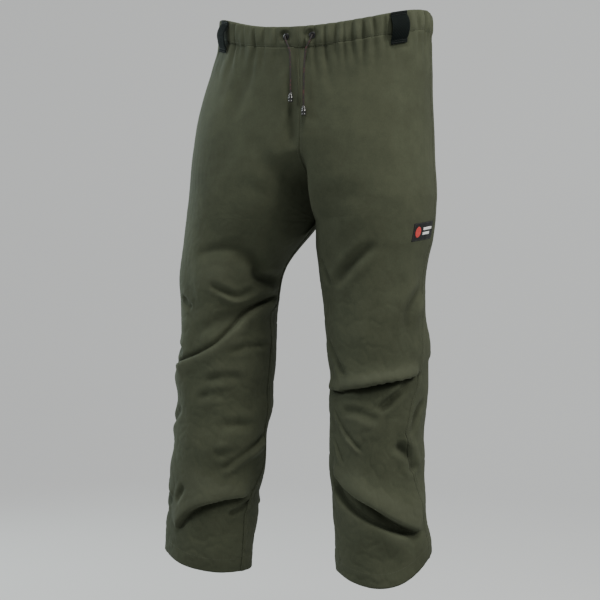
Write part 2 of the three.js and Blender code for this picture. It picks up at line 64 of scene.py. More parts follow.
TAU = 2 * math.pi
Line = tuple[tuple[float, float], ...]
Array = np.ndarray
Piece = bpy.types.Object
Material = bpy.types.Material
Tree = bpy.types.NodeTree
Node = bpy.types.Node
Socket = bpy.types.NodeSocket


# ---- Shape helpers ----------------------------------------------------------------------------------


class Side(Enum):
    """Half of the garment, by the sign of the wearer's side across the body."""

    LEFT = 1
    RIGHT = -1

    @property
    def word(self) -> str:
        """Name of the side as the frame's nodes spell it."""
        return self.name.lower()

    def pick(self, pair: tuple) -> object:
        """This side's entry of a (left, right) pair."""
        return pair[0] if self is Side.LEFT else pair[1]


def ease(u: Array) -> Array:
    """Smooth step from 0 to 1: u cubed times (6u squared less 15u plus 10), held at its ends."""
    u = np.clip(u, 0, 1)
    return u**3 * (u * (u * 6 - 15) + 10)


def hermite(stations: Sequence[tuple[float, float]], at: Array) -> Array:
    """Smooth curve through stations, a cubic in each span with slopes taken across its neighbours.

    Args:
        stations: (place, value) pairs in order.
        at: places to read.

    Returns:
        The values there, held at the two ends.
    """
    x, v = (np.array(column, float) for column in zip(*stations))
    last = len(x) - 1
    before = np.maximum(np.arange(last + 1) - 1, 0)
    after = np.minimum(np.arange(last + 1) + 1, last)
    slope = (v[after] - v[before]) / (x[after] - x[before])
    k = np.clip(np.searchsorted(x, at, side="left") - 1, 0, last - 1)
    span = x[k + 1] - x[k]
    u = np.clip((at - x[k]) / span, 0, 1)
    flat = v[k] * (2 * u**3 - 3 * u**2 + 1) + v[k + 1] * (3 * u**2 - 2 * u**3)
    return flat + span * (slope[k] * (u**3 - 2 * u**2 + u) + slope[k + 1] * (u**3 - u**2))


def unit(vectors: Array) -> Array:
    """Vectors divided by their lengths."""
    return vectors / np.maximum(np.linalg.norm(vectors, axis=-1, keepdims=True), 1e-12)


def wrapped(degrees: Array) -> Array:
    """Degrees brought to between -180 and 180."""
    return (degrees + 180) % 360 - 180


def run_along(path: Array) -> Array:
    """Distance from the start of a path at each of its points."""
    return np.concatenate([[0], np.cumsum(np.linalg.norm(np.diff(path, axis=0), axis=1))])


def read_along(at: Array, run: Array, values: Array) -> Array:
    """Each column of values, known at the distances run, read at other distances."""
    return np.stack([np.interp(at, run, column) for column in values.T], -1)


def smooth_line(points: Array, steps: int) -> Array:
    """Uniform Catmull-Rom curve through points, each span cut into the same number of steps.

    Args:
        points: one point in each row.
        steps: steps in each span.

    Returns:
        The curve's points.
    """
    p = np.vstack([2 * points[0] - points[1], points, 2 * points[-1] - points[-2]])
    u = (np.arange(steps) / steps)[None, :, None]
    a, b, c, d = (p[k : len(p) - 3 + k, None, :] for k in range(4))
    curve = 0.5 * (2 * b + (c - a) * u + (2 * a - 5 * b + 4 * c - d) * u**2
                   + (3 * b - a - 3 * c + d) * u**3)
    return np.vstack([curve.reshape(-1, points.shape[1]), points[-1]])


class Ripple:
    """Smooth wandering field: a sum of plane waves with random headings, of about unit spread."""

    def __init__(self, seed: int, wavelength: float, stretch: Sequence[float] = (1, 1, 1),
                 waves: int = 18) -> None:
        """Draws the waves.

        Args:
            seed: of the random draw.
            wavelength: mean wavelength, in the unit of the points.
            stretch: how much longer the waves are along each axis.
            waves: how many are summed.
        """
        draw = np.random.default_rng(seed)
        heading = unit(draw.normal(size=(waves, 3)))
        length = wavelength * draw.uniform(0.65, 1.5, (waves, 1))
        self.numbers = TAU * heading / length / np.array(stretch, float)
        self.phase = draw.uniform(0, TAU, waves)

    def __call__(self, points: Array) -> Array:
        """Field at points, the last axis of which holds x, y and z.

        Args:
            points: places, with x, y and z on the last axis.

        Returns:
            The field there.
        """
        total = np.zeros(points.shape[:-1])
        for number, phase in zip(self.numbers, self.phase):
            total += np.cos(points @ number + phase)
        return total * math.sqrt(2 / len(self.phase))


@dataclass
class Shell:
    """Mesh being gathered: points in millimetres, faces, and flat cut coordinates for the weave."""

    points: list = field(default_factory=list)
    faces: list = field(default_factory=list)
    cut: list = field(default_factory=list)
    relief: list = field(default_factory=list)
    count: int = 0

    def add(self, points: Array, faces: Array, cut: Array | None = None,
            relief: Array | None = None) -> None:
        """Takes in a patch.

        Args:
            points: N by 3, millimetres.
            faces: M by 3 or M by 4, indices into points.
            cut: N by 2 flat place on the cloth, metres.
            relief: N values, how far each point stands proud, millimetres.
        """
        n = len(points)
        self.points.append(points)
        self.faces.append(faces + self.count)
        self.cut.append(np.zeros((n, 2)) if cut is None else cut)
        self.relief.append(np.zeros(n) if relief is None else relief)
        self.count += n

    def build(self, name: str, smooth: bool = True) -> Piece:
        """Makes the object, with the flat coordinates as UV map "cut" and the relief as an attribute, which
        the cloth finishes read to lighten crests and paint shade into valleys.

        Args:
            name: the piece's name.
            smooth: whether it shades smoothly.

        Returns:
            The object.
        """
        mesh = bpy.data.meshes.new(name)
        points = np.vstack(self.points) * MM
        sizes = np.concatenate([np.full(len(f), f.shape[1]) for f in self.faces])
        corners = np.concatenate([f.ravel() for f in self.faces]).astype(np.int32)
        mesh.vertices.add(len(points))
        mesh.vertices.foreach_set("co", points.astype(np.float32).ravel())
        mesh.loops.add(len(corners))
        mesh.loops.foreach_set("vertex_index", corners)
        mesh.polygons.add(len(sizes))
        starts = np.concatenate([[0], np.cumsum(sizes)[:-1]]).astype(np.int32)
        mesh.polygons.foreach_set("loop_start", starts)
        mesh.update(calc_edges=True)
        mesh.validate()
        uv = mesh.uv_layers.new(name="cut")
        uv.data.foreach_set("uv", np.vstack(self.cut)[corners].astype(np.float32).ravel())
        relief = mesh.attributes.new("relief", "FLOAT", "POINT")
        relief.data.foreach_set("value", np.concatenate(self.relief).astype(np.float32))
        mesh.polygons.foreach_set("use_smooth", np.full(len(sizes), smooth))
        obj = bpy.data.objects.new(name, mesh)
        bpy.context.scene.collection.objects.link(obj)
        return obj


def grid_faces(rows: int, columns: int, closed_rows: bool = False, closed_columns: bool = False,
               flip: bool = False) -> Array:
    """Quads of a grid of points numbered row by row.

    Args:
        rows: number of rows of points.
        columns: number of points in a row.
        closed_rows: the last row joins the first.
        closed_columns: the last column joins the first.
        flip: turns the faces over.

    Returns:
        M by 4 point numbers.
    """
    r = np.arange(rows if closed_rows else rows - 1)[:, None]
    c = np.arange(columns if closed_columns else columns - 1)[None, :]
    r2, c2 = (r + 1) % rows, (c + 1) % columns
    quads = np.stack([r * columns + c, r2 * columns + c, r2 * columns + c2, r * columns + c2], -1)
    quads = quads.reshape(-1, 4)
    return quads[:, ::-1] if flip else quads


def slab_faces(rows: int, columns: int, flip: bool = False) -> Array:
    """Quads of a closed slab: an outer grid, an inner grid after it, and the rim that joins them.

    Args:
        rows: number of rows of points.
        columns: number of points in a row.
        flip: turns the faces over.

    Returns:
        M by 4 point numbers.
    """
    outer = grid_faces(rows, columns)
    inner = grid_faces(rows, columns, flip=True) + rows * columns
    edge = np.concatenate([
        np.arange(columns - 1),
        columns - 1 + columns * np.arange(rows - 1),
        rows * columns - 1 - np.arange(columns - 1),
        (rows - 1) * columns - columns * np.arange(rows - 1),
    ])
    ahead = np.roll(edge, -1)
    rim = np.stack([edge, ahead, ahead + rows * columns, edge + rows * columns], -1)
    quads = np.vstack([outer, inner, rim])
    return quads[:, ::-1] if flip else quads


def slab(name: str, outer: Array, inner: Array, cut: Array, flip: bool = False,
         relief: Array | None = None) -> Piece:
    """Makes a closed slab between an outer and an inner grid of points.

    Args:
        name: the piece's name.
        outer: rows by columns of points, millimetres.
        inner: the same grid on the other face.
        cut: flat place of each grid point on the cloth, metres.
        flip: turns the faces over.
        relief: how far each grid point stands proud, millimetres.

    Returns:
        The object.
    """
    shell = Shell()
    shell.add(np.vstack([outer.reshape(-1, 3), inner.reshape(-1, 3)]), slab_faces(*outer.shape[:2], flip),
              np.tile(cut.reshape(-1, 2), (2, 1)), None if relief is None else np.tile(relief.ravel(), 2))
    return shell.build(name)


def tube(path: Array, radius: Array | Callable, sides: int) -> tuple[Array, Array]:
    """Round tube carried along a path without twisting, closed at both ends by its last rings.

    Args:
        path: N by 3 points.
        radius: N values, or a function of (step along, angle round) that gives the radius.
        sides: points round each ring.

    Returns:
        Points ring by ring, and quads.
    """
    ahead = unit(np.gradient(path, axis=0))
    frames = np.empty((len(path), 3))
    start = np.cross(ahead[0], [0.0, 0.31, 0.95])
    frames[0] = unit(start)
    for k in range(1, len(path)):
        side = frames[k - 1] - ahead[k] * (frames[k - 1] @ ahead[k])
        frames[k] = unit(side)
    other = np.cross(ahead, frames)
    angle = TAU * np.arange(sides) / sides
    steps = np.arange(len(path))
    if callable(radius):
        r = radius(steps[:, None], angle[None, :])
    else:
        r = np.repeat(np.asarray(radius, float)[:, None], sides, 1)
    ring = (path[:, None, :] + r[..., None] * (np.cos(angle)[None, :, None] * frames[:, None, :]
                                               + np.sin(angle)[None, :, None] * other[:, None, :]))
    points = ring.reshape(-1, 3)
    caps = np.vstack([path[:1], path[-1:]])
    quads = grid_faces(len(path), sides, closed_columns=True, flip=True)
    return np.vstack([points, caps]), quads


def tube_caps(rings: int, sides: int) -> Array:
    """Triangles that close a tube's two ends on the two middle points after its rings.

    Args:
        rings: number of rings.
        sides: points round each ring.

    Returns:
        M by 3 point numbers.
    """
    k = np.arange(sides)
    k2 = (k + 1) % sides
    last = (rings - 1) * sides
    first = np.stack([k, k2, np.full(sides, rings * sides)], -1)[:, ::-1]
    final = np.stack([last + k, last + k2, np.full(sides, rings * sides + 1)], -1)
    return np.vstack([first[:, ::-1], final[:, ::-1]])


# ---- Form of the cloth ------------------------------------------------------------------------------


@dataclass(frozen=True)
class TrouserForm:
    """Outer cloth surface before it creases, as the CAD source shapes it. Pairs are (left, right)."""

    band: float = 38
    hip: float = 200
    rise: float = 377
    thigh: float = 466
    knee: float = 620
    calf: float = 840
    hem: float = 1024
    dip: float = 40
    roundness: float = 2.2
    waist_width: float = 198
    hip_width: tuple = (200, 250)
    fork_width: tuple = (111, 126)
    leg_widths: tuple = (98, 91, 87, 85)
    fork_x: float = -12
    seam_drift: float = 3
    leg_x: tuple = ((94, 104, 99, 112), (-181, -190, -212, -231))
    front_depths: tuple = (148, 152, 136, 115, 104, 88, 76)
    back_depths: tuple = (148, 152, 116, 96, 79, 80, 78)
    hem_mean: tuple = (13, 11)
    hem_once: tuple = ((-14, -12.5), (-15, -2.5))
    hem_twice: tuple = ((10, 11), (3.5, -2.5))
    right_lift: float = 4.0

    def start(self, drop: Array) -> Array:
        """Angle at which a half stops at the centre seam: a right angle at the waist, nothing below."""
        u = np.clip((drop - self.band) / (self.rise - self.band), 0, 1)
        return math.pi / 2 * np.sqrt(1 - u**self.roundness)

    def centre(self, drop: Array) -> Array:
        """Place of the centre seam across the body at drops."""
        return hermite([(self.band, 0), (self.hip, self.seam_drift), (self.rise, self.fork_x)], drop)

    def across(self, side: Side, drop: Array) -> tuple[Array, Array]:
        """Middle and half width of a side's section at drops.

        Args:
            side: half of the garment.
            drop: millimetres below the waist.

        Returns:
            The middles and the half widths.
        """
        fork = side.pick(self.fork_width)
        levels = (self.thigh, self.knee, self.calf, self.hem)
        leg_w = hermite([(self.rise, fork), *zip(levels, self.leg_widths)], drop)
        leg_c = hermite([(self.rise, self.fork_x + side.value * fork),
                         *zip(levels, side.pick(self.leg_x))], drop)
        body = hermite([(self.band, self.waist_width), (self.hip, side.pick(self.hip_width)),
                        (self.rise, 2 * fork)], drop)
        seam = self.centre(drop)
        reach = np.cos(self.start(drop))
        body_w = body / (1 + reach)
        above = drop < self.rise
        return (np.where(above, seam + side.value * body_w * reach, leg_c),
                np.where(above, body_w, leg_w))

    def point(self, side: Side, angle: Array, drop: Array) -> Array:
        """Points of the surface at angles from the inseam by the front, in radians, and at drops.

        Across: the section's middle less its half width times the angle's cosine. Forward: minus the
        depth times the sine. Down: the drop, plus the waist's dip at the front, less the hem's lift, a
        mean and waves once and twice round the leg, and less a slight lift of the waist at the right side.

        Args:
            side: half of the garment.
            angle: radians from the inseam by the front.
            drop: millimetres below the waist.

        Returns:
            The points, millimetres.
        """
        d = np.maximum(self.band, drop)
        middle, half = self.across(side, d)
        levels = (self.band, self.hip, self.rise, self.thigh, self.knee, self.calf, self.hem)
        depth = np.where(np.sin(angle) > 0, hermite([*zip(levels, self.front_depths)], d),
                         hermite([*zip(levels, self.back_depths)], d))
        front = np.maximum(0, np.sin(angle)) ** 2
        dip = self.dip * front * (1 - ease((d - self.band) / (self.rise - self.band)))
        once, twice = side.pick(self.hem_once), side.pick(self.hem_twice)
        rise = (side.pick(self.hem_mean) + once[0] * np.cos(angle) + once[1] * np.sin(angle)
                + twice[0] * np.cos(2 * angle) + twice[1] * np.sin(2 * angle))
        lift = rise * ease((d - self.knee) / (self.hem - self.knee))
        across = middle - side.value * half * np.cos(angle)
        tilt = self.right_lift * ease((-across - 60) / 130) * (1 - ease(drop / 160))
        return np.stack([across, -depth * np.sin(angle), -drop - dip + lift + tilt], -1)

    def normal(self, side: Side, angle: Array, drop: Array) -> Array:
        """Outward unit normals, from short steps round and down; level in the band.

        Args:
            side: half of the garment.
            angle: radians from the inseam by the front.
            drop: millimetres below the waist.

        Returns:
            The normals.
        """
        step = 1e-3
        round_ = self.point(side, angle + step, drop) - self.point(side, angle - step, drop)
        start = np.where(drop < self.band + 1, drop - 2, drop - 0.5)
        down = self.point(side, angle, start + 1) - self.point(side, angle, start)
        return unit(np.cross(round_, down) * -side.value)


@dataclass(frozen=True)
class SeamPath:
    """How far the side seams wander round the leg: (drop, degrees) stations of each pair's side."""

    outseam: tuple = (
        ((377, 181), (402, 178), (560, 168), (678, 156), (702, 150), (758, 140), (800, 148),
         (886, 162), (938, 172), (1024, 177)),
        ((377, 180), (560, 184), (700, 178), (860, 186), (1024, 180)),
    )
    inseam: tuple = (
        ((377, 0), (500, 4), (640, -5), (800, 3), (1024, 0)),
        ((377, 0), (450, -2), (522, -6), (544, 12), (594, 10), (694, 8), (832, 0), (918, 26),
         (1000, 27), (1024, 26)),
    )

    def warp(self, side: Side, turn: Array, drop: Array) -> Array:
        """Angle to add at a share of the way round, so that the seams follow their stations.

        Args:
            side: half of the garment.
            turn: share of the way round the half, 0 to 1.
            drop: millimetres below the waist.

        Returns:
            The angles, radians.
        """
        out = np.interp(drop, *zip(*side.pick(self.outseam))) - 180
        inner = np.interp(drop, *zip(*side.pick(self.inseam)))
        fade = ease((drop - 377) / 60)
        near_out = (1 - np.cos(TAU * turn)) / 2
        return np.radians(fade * (out * near_out**2 + inner * (1 - near_out) ** 2))


# ---- Creases ----------------------------------------------------------------------------------------


class Kind(Enum):
    """Cross-section of a crease."""

    GROOVE = "groove"      # a soft valley with low shoulders
    RIDGE = "ridge"        # a soft crest with a narrow valley above it
    OVERHANG = "overhang"  # the cloth above stands out over the cloth below
    LEDGE = "ledge"        # the cloth below stands out under the cloth above


@dataclass(frozen=True)
class Crease:
    """One crease in a leg, along a line of (angle from the inseam, drop) points.

    rise and sink are how far its crest and valley stand from the smooth cloth, width is the reach of
    each, edge is how sharp the step between them is, and lean is which end is deepest, -1 to 1.
    """

    kind: Kind
    line: Line
    rise: float
    sink: float
    width: float
    edge: float = 2.5
    lean: float = 0.0
    taper: float = 0.22

    def profile(self, q: Array) -> Array:
        """Height across the crease, q down from its line, as bells and a smoothed step.

        Args:
            q: millimetres down from the line.

        Returns:
            The height, millimetres.
        """
        w = self.width
        if self.kind is Kind.GROOVE:
            shoulders = np.exp(-(((np.abs(q) - 1.9 * w) / (1.1 * w)) ** 2))
            return self.rise * shoulders - self.sink * np.exp(-((q / w) ** 2))
        if self.kind is Kind.RIDGE:
            return (self.rise * np.exp(-((q / w) ** 2))
                    - self.sink * np.exp(-(((q + 1.7 * w) / (0.8 * w)) ** 2)))
        turn = q if self.kind is Kind.OVERHANG else -q
        step = np.tanh(turn / self.edge)
        crest = self.rise * (1 - step) / 2 * np.exp(-((np.minimum(turn, 0) / (2.2 * w)) ** 2))
        valley = self.sink * (1 + step) / 2 * np.exp(-((np.maximum(turn, 0) / w) ** 2))
        return crest - valley

    def ends(self, t: Array) -> Array:
        """Strength at a share t of the way along: faded at both ends, and leaning to one of them."""
        faded = ease(t / self.taper) * ease((1 - t) / self.taper)
        return faded * (1 + self.lean * (2 * t - 1))

    def slide(self, q: Array) -> Array:
        """How far the lip of a sharp crease sags over its valley, down for an overhang.

        Args:
            q: millimetres down from the line.

        Returns:
            The slide downwards, millimetres.
        """
        if self.kind in (Kind.GROOVE, Kind.RIDGE):
            return np.zeros_like(q)
        sign = 1 if self.kind is Kind.OVERHANG else -1
        turn = q * sign
        return sign * 0.45 * self.rise * np.exp(-(((turn + self.edge) / (2.6 * self.edge)) ** 2))


@dataclass(frozen=True)
class Bulge:
    """Round swelling, or a hollow where rise is negative, at an angle and a drop."""

    angle: float
    drop: float
    rise: float
    across: float
    down: float


G, R, O, L = Kind.GROOVE, Kind.RIDGE, Kind.OVERHANG, Kind.LEDGE

RIGHT_CREASES = (
    Crease(G, ((122, 448), (100, 434), (80, 428), (62, 434), (44, 454), (34, 480), (-10, 486)),
           1.0, 4.6, 10, lean=0.6),
    Crease(G, ((92, 488), (60, 514), (38, 498)), 0.8, 2.6, 6),
    Crease(R, ((84, 502), (58, 526), (30, 506), (0, 500)), 2.0, 0, 5),
    Crease(G, ((0, 516), (30, 534), (70, 556), (122, 592)), 0, 3.6, 14, taper=0.3),
    Crease(L, ((-8, 514), (40, 544), (64, 580), (92, 616), (150, 648)), 5.0, 6.0, 8, 2.6, taper=0.12),
    Crease(G, ((74, 622), (46, 608), (8, 604)), 0.8, 2.2, 6.5, taper=0.35),
    Crease(G, ((100, 672), (68, 662), (42, 666)), 0.8, 2.3, 8, taper=0.36),
    Crease(G, ((108, 709), (84, 694), (60, 702)), 0.6, 1.7, 8.5, taper=0.36),
    Crease(G, ((80, 757), (54, 749), (20, 755)), 0.8, 2.4, 9, taper=0.36),
    Crease(G, ((82, 808), (38, 795)), 0.6, 1.9, 8, taper=0.36),
    Crease(R, ((-6, 778), (28, 808), (66, 847)), 3.0, 3.0, 7),
    Crease(O, ((18, 883), (56, 884), (96, 912), (124, 971)), 6.0, 8.0, 12, 2.0, taper=0.16),
    Crease(G, ((14, 893), (54, 917)), 0.8, 3.0, 5),
    Crease(G, ((110, 871), (122, 914)), 0.8, 3.0, 6),
    Crease(G, ((142, 514), (116, 538)), 0.8, 3.0, 6),
    Crease(G, ((172, 894), (152, 912), (132, 921)), 1.5, 6.0, 8),
    Crease(G, ((168, 600), (148, 612), (128, 622)), 1.0, 4.5, 7),
    Crease(G, ((128, 719), (150, 745), (176, 774)), 1.0, 3.0, 9),
    Crease(O, ((196, 560), (230, 548), (270, 566), (308, 590)), 5.0, 6.0, 10, 3),
    Crease(O, ((204, 640), (244, 622), (288, 634), (330, 668)), 6.0, 7.0, 10, 2.5),
    Crease(L, ((212, 690), (250, 705), (292, 690)), 4.0, 5.0, 9, 3),
    Crease(G, ((220, 590), (262, 604), (300, 630)), 1.0, 4.0, 8),
    Crease(O, ((198, 806), (240, 837), (296, 844), (334, 807)), 5.0, 6.0, 10, 2.5),
    Crease(O, ((204, 900), (250, 930), (300, 926), (344, 896)), 5.0, 6.0, 9, 2.5),
    Crease(G, ((236, 470), (280, 452), (326, 474)), 1.0, 4.0, 10),
    Crease(G, ((214, 748), (262, 763), (310, 744)), 1.0, 3.5, 8),
)

LEFT_CREASES = (
    Crease(G, ((112, 418), (84, 462), (60, 502)), 1.6, 3.2, 9),
    Crease(G, ((38, 442), (58, 502)), 0.9, 2.6, 6),
    Crease(G, ((34, 592), (52, 630), (70, 664)), 0.9, 3.2, 7),
    Crease(G, ((176, 488), (158, 516), (146, 546), (140, 590)), 2.0, 3.6, 10, taper=0.35),
    Crease(O, ((20, 681), (56, 682), (66, 678), (92, 672), (116, 664), (164, 650)),
           6.5, 10.0, 9, 1.5, lean=0.25, taper=0.13),
    Crease(G, ((146, 662), (128, 690), (104, 721)), 1.4, 4.6, 7),
    Crease(R, ((40, 718), (92, 798)), 1.8, 1.8, 4),
    Crease(R, ((42, 776), (66, 820)), 1.6, 1.8, 4),
    Crease(O, ((34, 826), (84, 866), (110, 890), (168, 966)), 6.5, 10.5, 15, 2.0, taper=0.14),
    Crease(L, ((30, 854), (74, 895), (112, 923), (152, 962)), 3.6, 7.0, 12, 2.8, taper=0.16),
    Crease(G, ((128, 772), (150, 809), (158, 848)), 1.6, 5.0, 9),
    Crease(G, ((176, 701), (160, 730), (150, 769)), 1.2, 4.0, 8),
    Crease(G, ((112, 737), (84, 719), (60, 717)), 0.8, 2.2, 7),
    Crease(O, ((196, 520), (240, 506), (292, 530), (330, 566)), 5.0, 6.0, 10, 3),
    Crease(O, ((190, 636), (236, 612), (286, 628), (338, 673)), 6.0, 7.0, 10, 2.5),
    Crease(G, ((206, 566), (250, 574), (300, 598)), 1.0, 4.0, 8),
    Crease(L, ((202, 706), (250, 723), (300, 705)), 4.0, 5.0, 9, 3),
    Crease(O, ((204, 817), (250, 850), (300, 826), (342, 788)), 5.0, 6.0, 10, 2.5),
    Crease(O, ((200, 933), (246, 955), (292, 917), (330, 883)), 5.0, 6.0, 9, 2.5),
    Crease(G, ((224, 452), (274, 440), (320, 462)), 1.0, 4.0, 10),
    Crease(G, ((210, 769), (262, 777), (320, 747)), 1.0, 3.5, 8),
)

FRONT_CREASES = (
    Crease(G, ((-15, 62), (-12, 120), (-10, 190), (-16, 262)), 0.9, 7.0, 11, taper=0.3),
    Crease(G, ((14, 66), (12, 100), (16, 150)), 0.5, 1.8, 7, taper=0.35),
    Crease(G, ((-40, 352), (-92, 322), (-160, 316)), 0.8, 2.0, 18, taper=0.4),
    Crease(G, ((-34, 320), (-70, 262), (-96, 196)), 0.8, 2.2, 16, taper=0.35),
    Crease(G, ((34, 356), (80, 336), (142, 344)), 0.8, 1.8, 18, taper=0.4),
    Crease(G, ((-96, 60), (-118, 120), (-132, 190)), 1.2, 2.6, 14, taper=0.35),
    Crease(G, ((168, 70), (178, 120), (176, 190)), 1.0, 2.4, 10, taper=0.35),
)
BACK_CREASES = (
    Crease(G, ((-30, 350), (-90, 322), (-170, 318)), 1.6, 5.0, 14, taper=0.3),
    Crease(G, ((-24, 372), (-80, 368), (-150, 386)), 1.6, 5.0, 12, taper=0.3),
    Crease(G, ((20, 350), (80, 330), (150, 340)), 1.6, 5.0, 14, taper=0.3),
    Crease(G, ((14, 374), (70, 378), (140, 404)), 1.6, 5.0, 12, taper=0.3),
    Crease(G, ((-8, 80), (-10, 180), (-4, 290)), 0.8, 3.5, 10, taper=0.3),
    Crease(G, ((-60, 70), (-84, 150), (-92, 230)), 1.0, 3.0, 14, taper=0.35),
    Crease(G, ((56, 70), (78, 140), (84, 220)), 1.0, 3.0, 14, taper=0.35),
)

RIGHT_BULGES = (
    Bulge(82, 474, 8, 46, 32), Bulge(152, 664, 7, 34, 24), Bulge(60, 640, 3, 50, 26),
    Bulge(90, 863, 4, 46, 26), Bulge(158, 848, 3, 40, 28), Bulge(160, 964, 4, 34, 24),
    Bulge(262, 590, 5, 60, 26), Bulge(262, 793, 5, 60, 30), Bulge(20, 700, -3, 30, 30),
)
LEFT_BULGES = (
    Bulge(92, 570, 4, 56, 46), Bulge(150, 620, 5, 36, 30), Bulge(80, 769, 4, 46, 38),
    Bulge(172, 640, 3, 34, 34), Bulge(60, 983, 3, 50, 30), Bulge(176, 560, -2, 30, 30),
    Bulge(262, 560, 5, 60, 26), Bulge(262, 774, 5, 60, 30),
)


@dataclass(frozen=True)
class Gather:
    """Pucker in the gathered waist, at degrees round from the centre front."""

    at: float
    depth: float
    width: float
    reach: float


class Gathers:
    """Puckers that the elastic draws into the band and the cloth under it."""

    FRONT = (
        Gather(-43.5, 1.0, 5, 70), Gather(-26.4, 1.1, 4, 84), Gather(-20.2, .8, 3.6, 46),
        Gather(-34.5, .5, 4, 36), Gather(-55, .7, 5, 46), Gather(-66, .6, 5, 40),
        Gather(-12.5, .45, 3.5, 30), Gather(3.4, .7, 2.4, 40), Gather(8.2, .9, 3.4, 60),
        Gather(13.7, 1.0, 3.6, 72), Gather(19.4, .8, 3.6, 40), Gather(23.4, .8, 3.2, 50),
        Gather(28.2, .9, 3.4, 44), Gather(33.4, .8, 3.4, 54), Gather(39.6, .9, 4, 48),
        Gather(46.2, .7, 4, 40), Gather(53, .6, 4, 34), Gather(72, .7, 5, 40),
    )

    LOOPS = (55.5, -55.5, 180.0)
    DEPTH = 4.6

    def __init__(self) -> None:
        """Adds the puckers of the sides and back, at uneven spaces, to those of the front."""
        draw = np.random.default_rng(7)
        places, at = [], 80.0
        while at < 284:
            places.append(Gather(at, draw.uniform(0.5, 1), draw.uniform(3.2, 5), draw.uniform(30, 58)))
            at += draw.uniform(5, 8.5)
        self.puckers = self.FRONT + tuple(places)
        self.wander = Ripple(11, 26, (1, 1, 2.4))
        self.fine = Ripple(12, 13, (1, 1, 3))

    def height(self, side: Side, angle: Array, base: Array, below: Array) -> Array:
        """Height in millimetres: a bell-shaped valley for each pucker, softer further from the seam.

        Args:
            side: the half.
            angle: radians from the inseam.
            base: smooth points.
            below: distance under the band's lower edge.

        Returns:
            Height above the smooth cloth.
        """
        round_ = side.value * (np.degrees(angle) - 90)
        total = np.zeros(base.shape[:-1])
        for p in self.puckers:
            off = wrapped(round_ - p.at)
            drift = 0.05 * below * math.sin(p.at * 3.1)
            width = 0.78 * p.width * (1 + 0.03 * below)
            valley = np.exp(-(((off * 3.1 + drift) / width) ** 2))
            total -= p.depth * valley * np.exp(-((below / p.reach) ** 2))
        near = np.exp(-((below / 42) ** 2))
        made = self.DEPTH * total + near * (2.0 + 0.8 * self.wander(base) + 0.45 * self.fine(base))
        pressed = np.ones_like(round_)
        for under in self.under_loops(round_):
            pressed *= 1 - 0.8 * under * (1 - ease((below - 24) / 12))
        return made * pressed

    def under_loops(self, round_: Array) -> list[Array]:
        """How far each place round the waist is under each belt loop, 0 to 1."""
        return [1 - ease((np.abs(wrapped(round_ - loop)) - 5.5) / 3) for loop in self.LOOPS]


@dataclass
class Skin:
    """Creased outer face of one half: points and normals in rows down and columns round."""

    side: Side
    angle: Array
    drop: Array
    base: Array
    level: Array
    normal: Array
    points: Array
    cut: Array
    relief: Array

    def sample(self, row: Array, column: Array) -> tuple[Array, Array, Array]:
        """Points, normals and downward directions at fractional rows and columns, between four corners.

        Args:
            row: fractional rows.
            column: fractional columns.

        Returns:
            Points, normals and downward directions.
        """
        r = np.clip(row, 0, self.points.shape[0] - 1.001)
        c = np.clip(column, 0, self.points.shape[1] - 1.001)
        i, j = r.astype(int), c.astype(int)
        u, v = (r - i)[..., None], (c - j)[..., None]

        def read(field_: Array) -> Array:
            """Value between the four corners."""
            top = field_[i, j] * (1 - v) + field_[i, j + 1] * v
            low = field_[i + 1, j] * (1 - v) + field_[i + 1, j + 1] * v
            return top * (1 - u) + low * u

        down = unit(self.points[i + 1, j] - self.points[i, j])
        return read(self.points), unit(read(self.normal)), down


